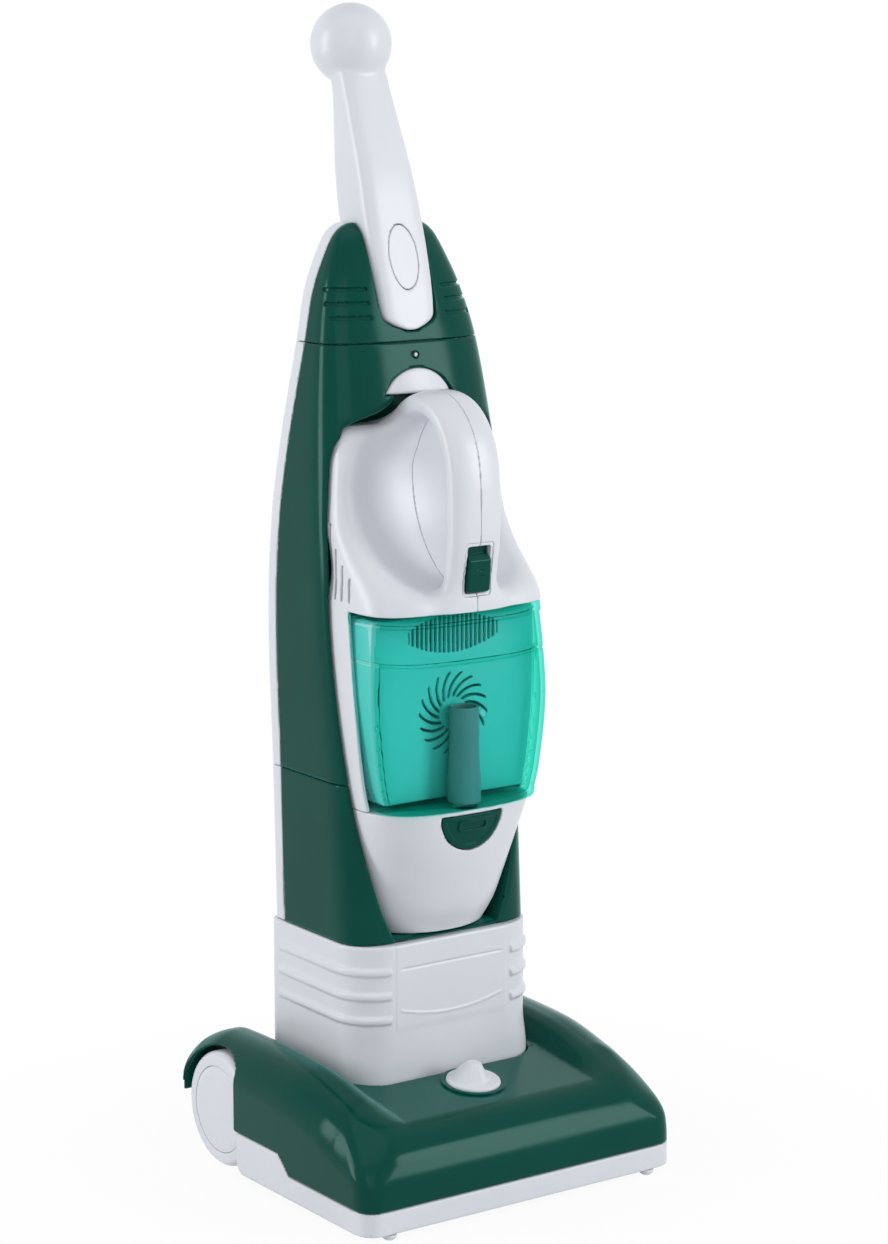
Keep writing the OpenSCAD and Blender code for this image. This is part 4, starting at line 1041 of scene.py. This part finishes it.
INTAKE_Y = -36.5
NOZZLE_FOOT, NOZZLE_TOP, NOZZLE_LID, LID_HOLE = 136.9, 208.1, 205.9, 6.5
LATCH_Z, LATCH_R, LATCH_BACK, LATCH_HOLE_BACK = 205.4, 19.4, -37.0, -25.0
LATCH_RIM, LATCH_RIM_WIDE, LATCH_SUNK = 0.7, 3.4, 0.7
MARK_HALF, MARK_Z, MARK_TALL, MARK_LINE, MARK_PROUD = 9.5, 199.6, 3.4, 0.8, 1.3


def latch_line(x, z, room):
    return rmax(np.hypot(x, z - LATCH_Z) - LATCH_R - room, z - LATCH_Z - room, 1.2)


def nozzle(x, y, z):
    outer = hand(x, y, z)
    lid = np.maximum(np.maximum(outer, NOZZLE_LID - z), LID_HOLE - np.hypot(x, y - INTAKE_Y))
    d = rmax(np.minimum(wall(outer, HAND_WALL), lid), z - NOZZLE_TOP, 0.5)
    d = rmax(d, NOZZLE_FOOT - z, 0.8)
    return cut(d, np.maximum(latch_line(x, z, 0.5), y - LATCH_HOLE_BACK), 0.5)


def latch(x, y, z):
    """A half disc with a raised rim and a raised oval ring."""
    d = latch_line(x, z, 0.0)
    rim = LATCH_RIM * step((d + LATCH_RIM_WIDE) / 1.0)
    mark = rmax(np.abs(x) - MARK_HALF, np.abs(z - MARK_Z) - MARK_TALL, 2.6)
    mark = np.abs(mark + MARK_LINE) - MARK_LINE
    lift = rim + MARK_PROUD * step(-mark / 0.5 + 0.5) - LATCH_SUNK
    d = rmax(d, hand(x, y, z) - lift, 0.5)
    return np.maximum(d, y - LATCH_BACK)


shape("snout", nozzle, (-53, -47, 136), (53, 29.5, 208.5), 1.0, WHITE, "hand_vac", "nozzle")
shape("latch", latch, (-20, -48, 185), (20, -36.5, 206), 0.55, GREEN, "bin_latch", "bin_latch")


# Power switch

SWITCH_HALF, SWITCH_Z, SWITCH_TALL, SWITCH_BACK = 6.9, 336.0, 10.0, -45.0
SWITCH_FACE, SWITCH_SLOPE, SWITCH_DIP, SWITCH_DIP_Z = -50.7, 0.09, 2.2, 342.5
DASHES = (335.0, 337.8)
DASH_HALF, DASH_WIDE, DASH_DEEP = 0.4, 2.0, 0.5
TAIL = ((-7.2, -46.4, 345.0), (7.2, SWITCH_BACK, 350.6))


def switch(x, y, z):
    d = rmax(np.abs(x) - SWITCH_HALF, np.abs(z - SWITCH_Z) - SWITCH_TALL, 1.5)
    face = SWITCH_FACE - SWITCH_SLOPE * (z - SWITCH_Z) + SWITCH_DIP * step((z - SWITCH_DIP_Z) / 3.5)
    d = rmax(d, face - y, 0.8)
    for level in DASHES:
        dash = np.maximum(np.abs(z - level) - DASH_HALF, np.abs(x) - DASH_WIDE)
        d = cut(d, np.maximum(dash, y - face - DASH_DEEP), 0.15)
    return np.minimum(np.maximum(d, y - SWITCH_BACK), box(x, y, z, *TAIL))


shape("switch", switch, (-7.5, -53, 325.5), (7.5, -44.5, 351), 0.4, GREEN, "power_switch", "power_switch")


# Dust bin

BIN_SQUARE = 3.2
BIN_WALL = 2.4
BIN_FOOT, BIN_TOP = 208.9, 315.0
BIN_FLOOR, BIN_CEILING = 211.2, 312.6
BIN_MIDDLE = 262.0
TOP_RIM, TOP_RIM_Z = 0.8, 309.0
FOOT_RIM, FOOT_RIM_Z = 0.6, 213.5
GROOVE, GROOVE_Z, GROOVE_HALF = 1.0, 289.5, 0.9
LEDGES_Z, LEDGES_APART, LEDGE_HALF, LEDGE_INSET = 299.5, 10.0, 0.9, 5.0
PANE_Y, PANE_HALF, PANE_INSET, PANE_TALL = -27.8, 0.5, 1.5, 51.5
FRAME_Y, FRAME_INSET, FRAME_HALF, FRAME_DEEP = -28.6, 4.2, 0.9, 1.1
FRAME_Z, FRAME_TALL = 250.0, 39.0
PIN_HOLE, PIN_HOLE_BACK = 2.6, -40.0
DUCT_HOLE, DUCT_HOLE_TOP = 6.0, 215.0


def bin_outer(x, y, z, inset):
    half = curve(BIN, z, HALF) - inset
    front = curve(BIN, z, FRONT) + inset
    back = curve(BIN, z, BACK)
    depth = back - front
    return squircle(np.abs(x) / half, np.maximum(back - y, 0) / depth, BIN_SQUARE, half, depth)


def bin_back(x, y, z):
    """The thin rear pane, with a raised line round it."""
    pane = np.maximum(np.abs(y - PANE_Y) - PANE_HALF, bin_outer(x, y, z, PANE_INSET))
    pane = np.maximum(pane, np.abs(z - BIN_MIDDLE) - PANE_TALL)
    line = np.abs(bin_outer(x, y, z, FRAME_INSET)) - FRAME_HALF
    line = np.maximum(line, np.abs(y - FRAME_Y) - FRAME_DEEP)
    return np.minimum(pane, np.maximum(line, np.abs(z - FRAME_Z) - FRAME_TALL))


def dust_bin(x, y, z):
    proud = TOP_RIM * step((z - TOP_RIM_Z) / 1.0) - GROOVE * ridge((z - GROOVE_Z) / GROOVE_HALF)
    proud = proud + FOOT_RIM * step((FOOT_RIM_Z - z) / 1.0)
    d = bin_outer(x, y, z, 0.0) - proud
    d = rmax(d, z - BIN_TOP, 1.2)
    d = rmax(d, BIN_FOOT - z, 1.6)
    inner = rmax(bin_outer(x, y, z, BIN_WALL), np.maximum(z - BIN_CEILING, BIN_FLOOR - z), 2.0)
    ledge = np.abs(np.abs(z - LEDGES_Z) - LEDGES_APART) - LEDGE_HALF
    d = cut(d, np.maximum(inner, -np.maximum(ledge, -bin_outer(x, y, z, LEDGE_INSET))), 0.3)
    d = rmax(d, y - curve(BIN, z, BACK), 0.5)
    d = np.minimum(d, bin_back(x, y, z))
    d = cut(d, np.maximum(np.hypot(x, z - BIN_MIDDLE) - PIN_HOLE, y - PIN_HOLE_BACK), 0.4)
    return cut(d, np.maximum(np.hypot(x, y - INTAKE_Y) - DUCT_HOLE, z - DUCT_HOLE_TOP), 0.3)


shape("bin_shell", dust_bin, (-57.5, -56, 208), (57.5, -9, 316), 1.0, CLEAR, "bin", "dust_bin")


# Fan guard and intake tube, which show through the bin

GUARD_INSET, GUARD_Z, GUARD_TALL = 3.1, 261.9, 50.0
GUARD_FRONT, GUARD_INNER, GUARD_BACK = -26.5, -24.3, -5.0
GUARD_WALL, GUARD_FLANGE, GUARD_FLANGE_FRONT, GUARD_ROOM = 2.0, -0.6, -7.0, 2.5
SLOTS_BACK = -23.5
FAN_Z = 257.5
ARM_TURN, ARM_TWIST, ARM_START, ARM_HALF = 20.0, 2.6, 9.0, 0.9
SWIRL_R, SWIRL_HALF = 15.5, 6.8
SLOT_PITCH, SLOT_HALF = 2.9, 0.75
SLOTS_Z, SLOTS_TALL, SLOTS_BOW, SLOTS_HALF = 301.0, 10.5, 0.0085, 29.0
TUBE_R, TUBE_FLARE, FLARE_TOP, FLARE_TALL, TUBE_BORE = 8.0, 1.0, 245.0, 32.0, 6.4
TUBE_FOOT, TUBE_TOP = 211.1, 263.0
FIN_HALF, FIN_BACK, FIN_FOOT, FIN_TOP, FIN_TAPER = 5.0, -28.0, 214.0, 248.0, 0.18


def guard_outer(x, z, inset):
    d = np.abs(x) - curve(BIN, z, HALF) + GUARD_INSET + inset
    return rmax(d, np.abs(z - GUARD_Z) - GUARD_TALL + inset, 3.0)


def guard_slots(x, y, z):
    """Curved arms round the fan's middle and a field of straight slots above them."""
    r = np.hypot(x, z - FAN_Z)
    turn = np.degrees(np.arctan2(z - FAN_Z, x)) + ARM_TWIST * (r - ARM_START)
    arm = np.abs(np.mod(turn, ARM_TURN) - ARM_TURN / 2) * math.pi / 180.0 * r - ARM_HALF
    swirl = np.maximum(arm, np.abs(r - SWIRL_R) - SWIRL_HALF)
    across = np.abs(np.mod(x + SLOT_PITCH / 2, SLOT_PITCH) - SLOT_PITCH / 2) - SLOT_HALF
    straight = np.maximum(across, np.abs(z - SLOTS_Z) - SLOTS_TALL + SLOTS_BOW * x * x)
    straight = np.maximum(straight, np.abs(x) - SLOTS_HALF)
    return np.maximum(np.minimum(swirl, straight), y - SLOTS_BACK)


def guard(x, y, z):
    d = rmax(guard_outer(x, z, 0.0), GUARD_FRONT - y, 1.0)
    d = np.maximum(d, y - GUARD_BACK)
    flange = np.maximum(guard_outer(x, z, GUARD_FLANGE), np.maximum(GUARD_FLANGE_FRONT - y, y - GUARD_BACK))
    d = np.minimum(d, np.maximum(flange, hand(x, y, z) + GUARD_ROOM))
    d = np.maximum(d, -np.maximum(guard_outer(x, z, GUARD_WALL), GUARD_INNER - y))
    return cut(d, guard_slots(x, y, z), 0.2)


def intake(x, y, z):
    r = np.hypot(x, y - INTAKE_Y)
    d = r - (TUBE_R + TUBE_FLARE * step((FLARE_TOP - z) / FLARE_TALL))
    fin_back = y - FIN_BACK + FIN_TAPER * np.maximum(z - FIN_FOOT, 0.0)
    fin = np.maximum(np.abs(x) - FIN_HALF, np.maximum(fin_back, INTAKE_Y - y))
    fin = rmax(fin, z - FIN_TOP, 4.0)
    d = smin(d, fin, 3.0)
    d = rmax(rmax(d, z - TUBE_TOP, 0.5), TUBE_FOOT - z, 0.4)
    return cut(d, r - TUBE_BORE, 0.4)


shape("guard", guard, (-57.5, -27, 209.5), (57.5, -4.5, 314.3), 0.8, WHITE, "hand_vac", "fan_guard")
shape("intake", intake, (-11.5, -50, 210.5), (11.5, -26.5, 264), 0.7, GREY, "bin", "intake_tube")


# CAD nodes that keep their own solids

SOFT_EDGE = 0.3 * MM
KEPT = {
    GREEN: ["dock_tray"],
    WHITE: ["battery_door", "battery_box", "fan"],
    GREY: ["motor_plate", "battery_cells"],
    STEEL: ["axle", "pan_screws", "knob_screw", "body_screws", "motor", "hand_screws"],
}
for mat, names in KEPT.items():
    for name in names:
        node = frame["nodes"][name]
        node.data.materials.clear()
        node.data.materials.append(mat)
        node.data.shade_smooth()
        node.data.set_sharp_from_angle(angle=math.radians(32))
        edge = node.modifiers.new("soft_edges", "BEVEL")
        edge.width = SOFT_EDGE
        edge.segments = 2
        edge.limit_method = "ANGLE"
        edge.angle_limit = math.radians(50)


# Stage, light and camera

FLOOR_HALF = 6.0
FLOOR_DROP = 0.0002
FLOOR_COLOUR = (0.86, 0.86, 0.87, 1)
SHADOW_IN, SHADOW_OUT, SHADOW_SHARE = 0.10, 0.32, 0.93
WHITE_LIGHT = (1, 1, 1, 1)
ROOM_COLOUR, ROOM_LIGHT = (0.95, 0.97, 1.0, 1), 0.42
AZIMUTH, ELEVATION = math.radians(-35.27), math.radians(10.62)
CENTRE, CENTRE_RIGHT, CENTRE_UP = Vector((0, -0.008, 0.3)), 0.00565, 0.00378
DISTANCE = 1.8015
SENSOR, FOCAL_LENGTH = 36.0, 97.33


def white_for_view(tree):
    """1 for rays that look at the background, 0 for those that light the object."""
    path = tree.nodes.new("ShaderNodeLightPath")
    a = tree.nodes.new("ShaderNodeMath")
    a.operation = "MAXIMUM"
    b = tree.nodes.new("ShaderNodeMath")
    b.operation = "MAXIMUM"
    tree.links.new(path.outputs["Is Camera Ray"], a.inputs[0])
    tree.links.new(path.outputs["Is Glossy Ray"], a.inputs[1])
    tree.links.new(a.outputs[0], b.inputs[0])
    tree.links.new(path.outputs["Is Transmission Ray"], b.inputs[1])
    return b.outputs[0]


def floor():
    """A pale floor that looks white and keeps a soft shadow near the object."""
    mesh = bpy.data.meshes.new("floor")
    s = FLOOR_HALF
    mesh.from_pydata([(-s, -s, 0), (s, -s, 0), (s, s, 0), (-s, s, 0)], [], [(0, 1, 2, 3)])
    obj = bpy.data.objects.new("floor", mesh)
    bpy.context.scene.collection.objects.link(obj)
    obj.location.z = -FLOOR_DROP
    mat, tree, out = nodes_of("pale_floor")
    paint = tree.nodes.new("ShaderNodeBsdfDiffuse")
    paint.inputs["Color"].default_value = FLOOR_COLOUR
    glow = tree.nodes.new("ShaderNodeEmission")
    glow.inputs["Color"].default_value = WHITE_LIGHT
    mixed = tree.nodes.new("ShaderNodeMixShader")
    coords = tree.nodes.new("ShaderNodeTexCoord")
    reach = tree.nodes.new("ShaderNodeVectorMath")
    reach.operation = "LENGTH"
    tree.links.new(coords.outputs["Object"], reach.inputs[0])
    grow = tree.nodes.new("ShaderNodeMapRange")
    grow.inputs["From Min"].default_value = SHADOW_IN
    grow.inputs["From Max"].default_value = SHADOW_OUT
    grow.inputs["To Min"].default_value = SHADOW_SHARE
    grow.inputs["To Max"].default_value = 1.0
    tree.links.new(reach.outputs["Value"], grow.inputs["Value"])
    share = tree.nodes.new("ShaderNodeMath")
    share.operation = "MULTIPLY"
    tree.links.new(white_for_view(tree), share.inputs[0])
    tree.links.new(grow.outputs["Result"], share.inputs[1])
    tree.links.new(share.outputs[0], mixed.inputs["Fac"])
    tree.links.new(paint.outputs["BSDF"], mixed.inputs[1])
    tree.links.new(glow.outputs["Emission"], mixed.inputs[2])
    tree.links.new(mixed.outputs["Shader"], out.inputs["Surface"])
    mesh.materials.append(mat)


def world():
    w = bpy.data.worlds.new("studio")
    bpy.context.scene.world = w
    w.use_nodes = True
    tree = w.node_tree
    tree.nodes.clear()
    out = tree.nodes.new("ShaderNodeOutputWorld")
    back = tree.nodes.new("ShaderNodeBackground")
    back.inputs["Color"].default_value = WHITE_LIGHT
    room = tree.nodes.new("ShaderNodeBackground")
    room.inputs["Color"].default_value = ROOM_COLOUR
    room.inputs["Strength"].default_value = ROOM_LIGHT
    mixed = tree.nodes.new("ShaderNodeMixShader")
    tree.links.new(white_for_view(tree), mixed.inputs["Fac"])
    tree.links.new(room.outputs["Background"], mixed.inputs[1])
    tree.links.new(back.outputs["Background"], mixed.inputs[2])
    tree.links.new(mixed.outputs["Shader"], out.inputs["Surface"])


def lamp(name, spot, aim, size, power):
    light = bpy.data.lights.new(name, "AREA")
    light.shape = "RECTANGLE"
    light.size, light.size_y = size
    light.energy = power
    obj = bpy.data.objects.new(name, light)
    obj.location = spot
    obj.rotation_mode = "QUATERNION"
    obj.rotation_quaternion = (Vector(aim) - Vector(spot)).to_track_quat("-Z", "Y")
    bpy.context.scene.collection.objects.link(obj)


def camera():
    a, e = AZIMUTH, ELEVATION
    back = Vector((math.sin(a) * math.cos(e), -math.cos(a) * math.cos(e), math.sin(e)))
    right = Vector((math.cos(a), math.sin(a), 0))
    up = back.cross(right)
    aim = CENTRE + right * CENTRE_RIGHT + up * CENTRE_UP
    data = bpy.data.cameras.new("view")
    data.sensor_width = SENSOR
    data.lens = FOCAL_LENGTH
    data.clip_start, data.clip_end = 0.05, 50.0
    obj = bpy.data.objects.new("view", data)
    obj.rotation_mode = "QUATERNION"
    obj.location = aim + back * DISTANCE
    obj.rotation_quaternion = (-back).to_track_quat("-Z", "Y")
    bpy.context.scene.collection.objects.link(obj)
    bpy.context.scene.camera = obj


floor()
world()
lamp("key", (1.05, -1.45, 0.85), (0, 0, 0.3), (0.55, 1.1), 14.0)
lamp("strip", (-1.45, 0.7, 0.7), (0, 0, 0.35), (0.4, 1.2), 11.0)
lamp("fill", (-0.9, -1.5, 1.2), (0, 0, 0.3), (1.2, 1.2), 4.5)
lamp("top", (-0.2, -0.3, 2.0), (0, 0, 0.2), (1.6, 1.2), 4.5)
camera()

bpy.context.scene.view_settings.view_transform = "Standard"
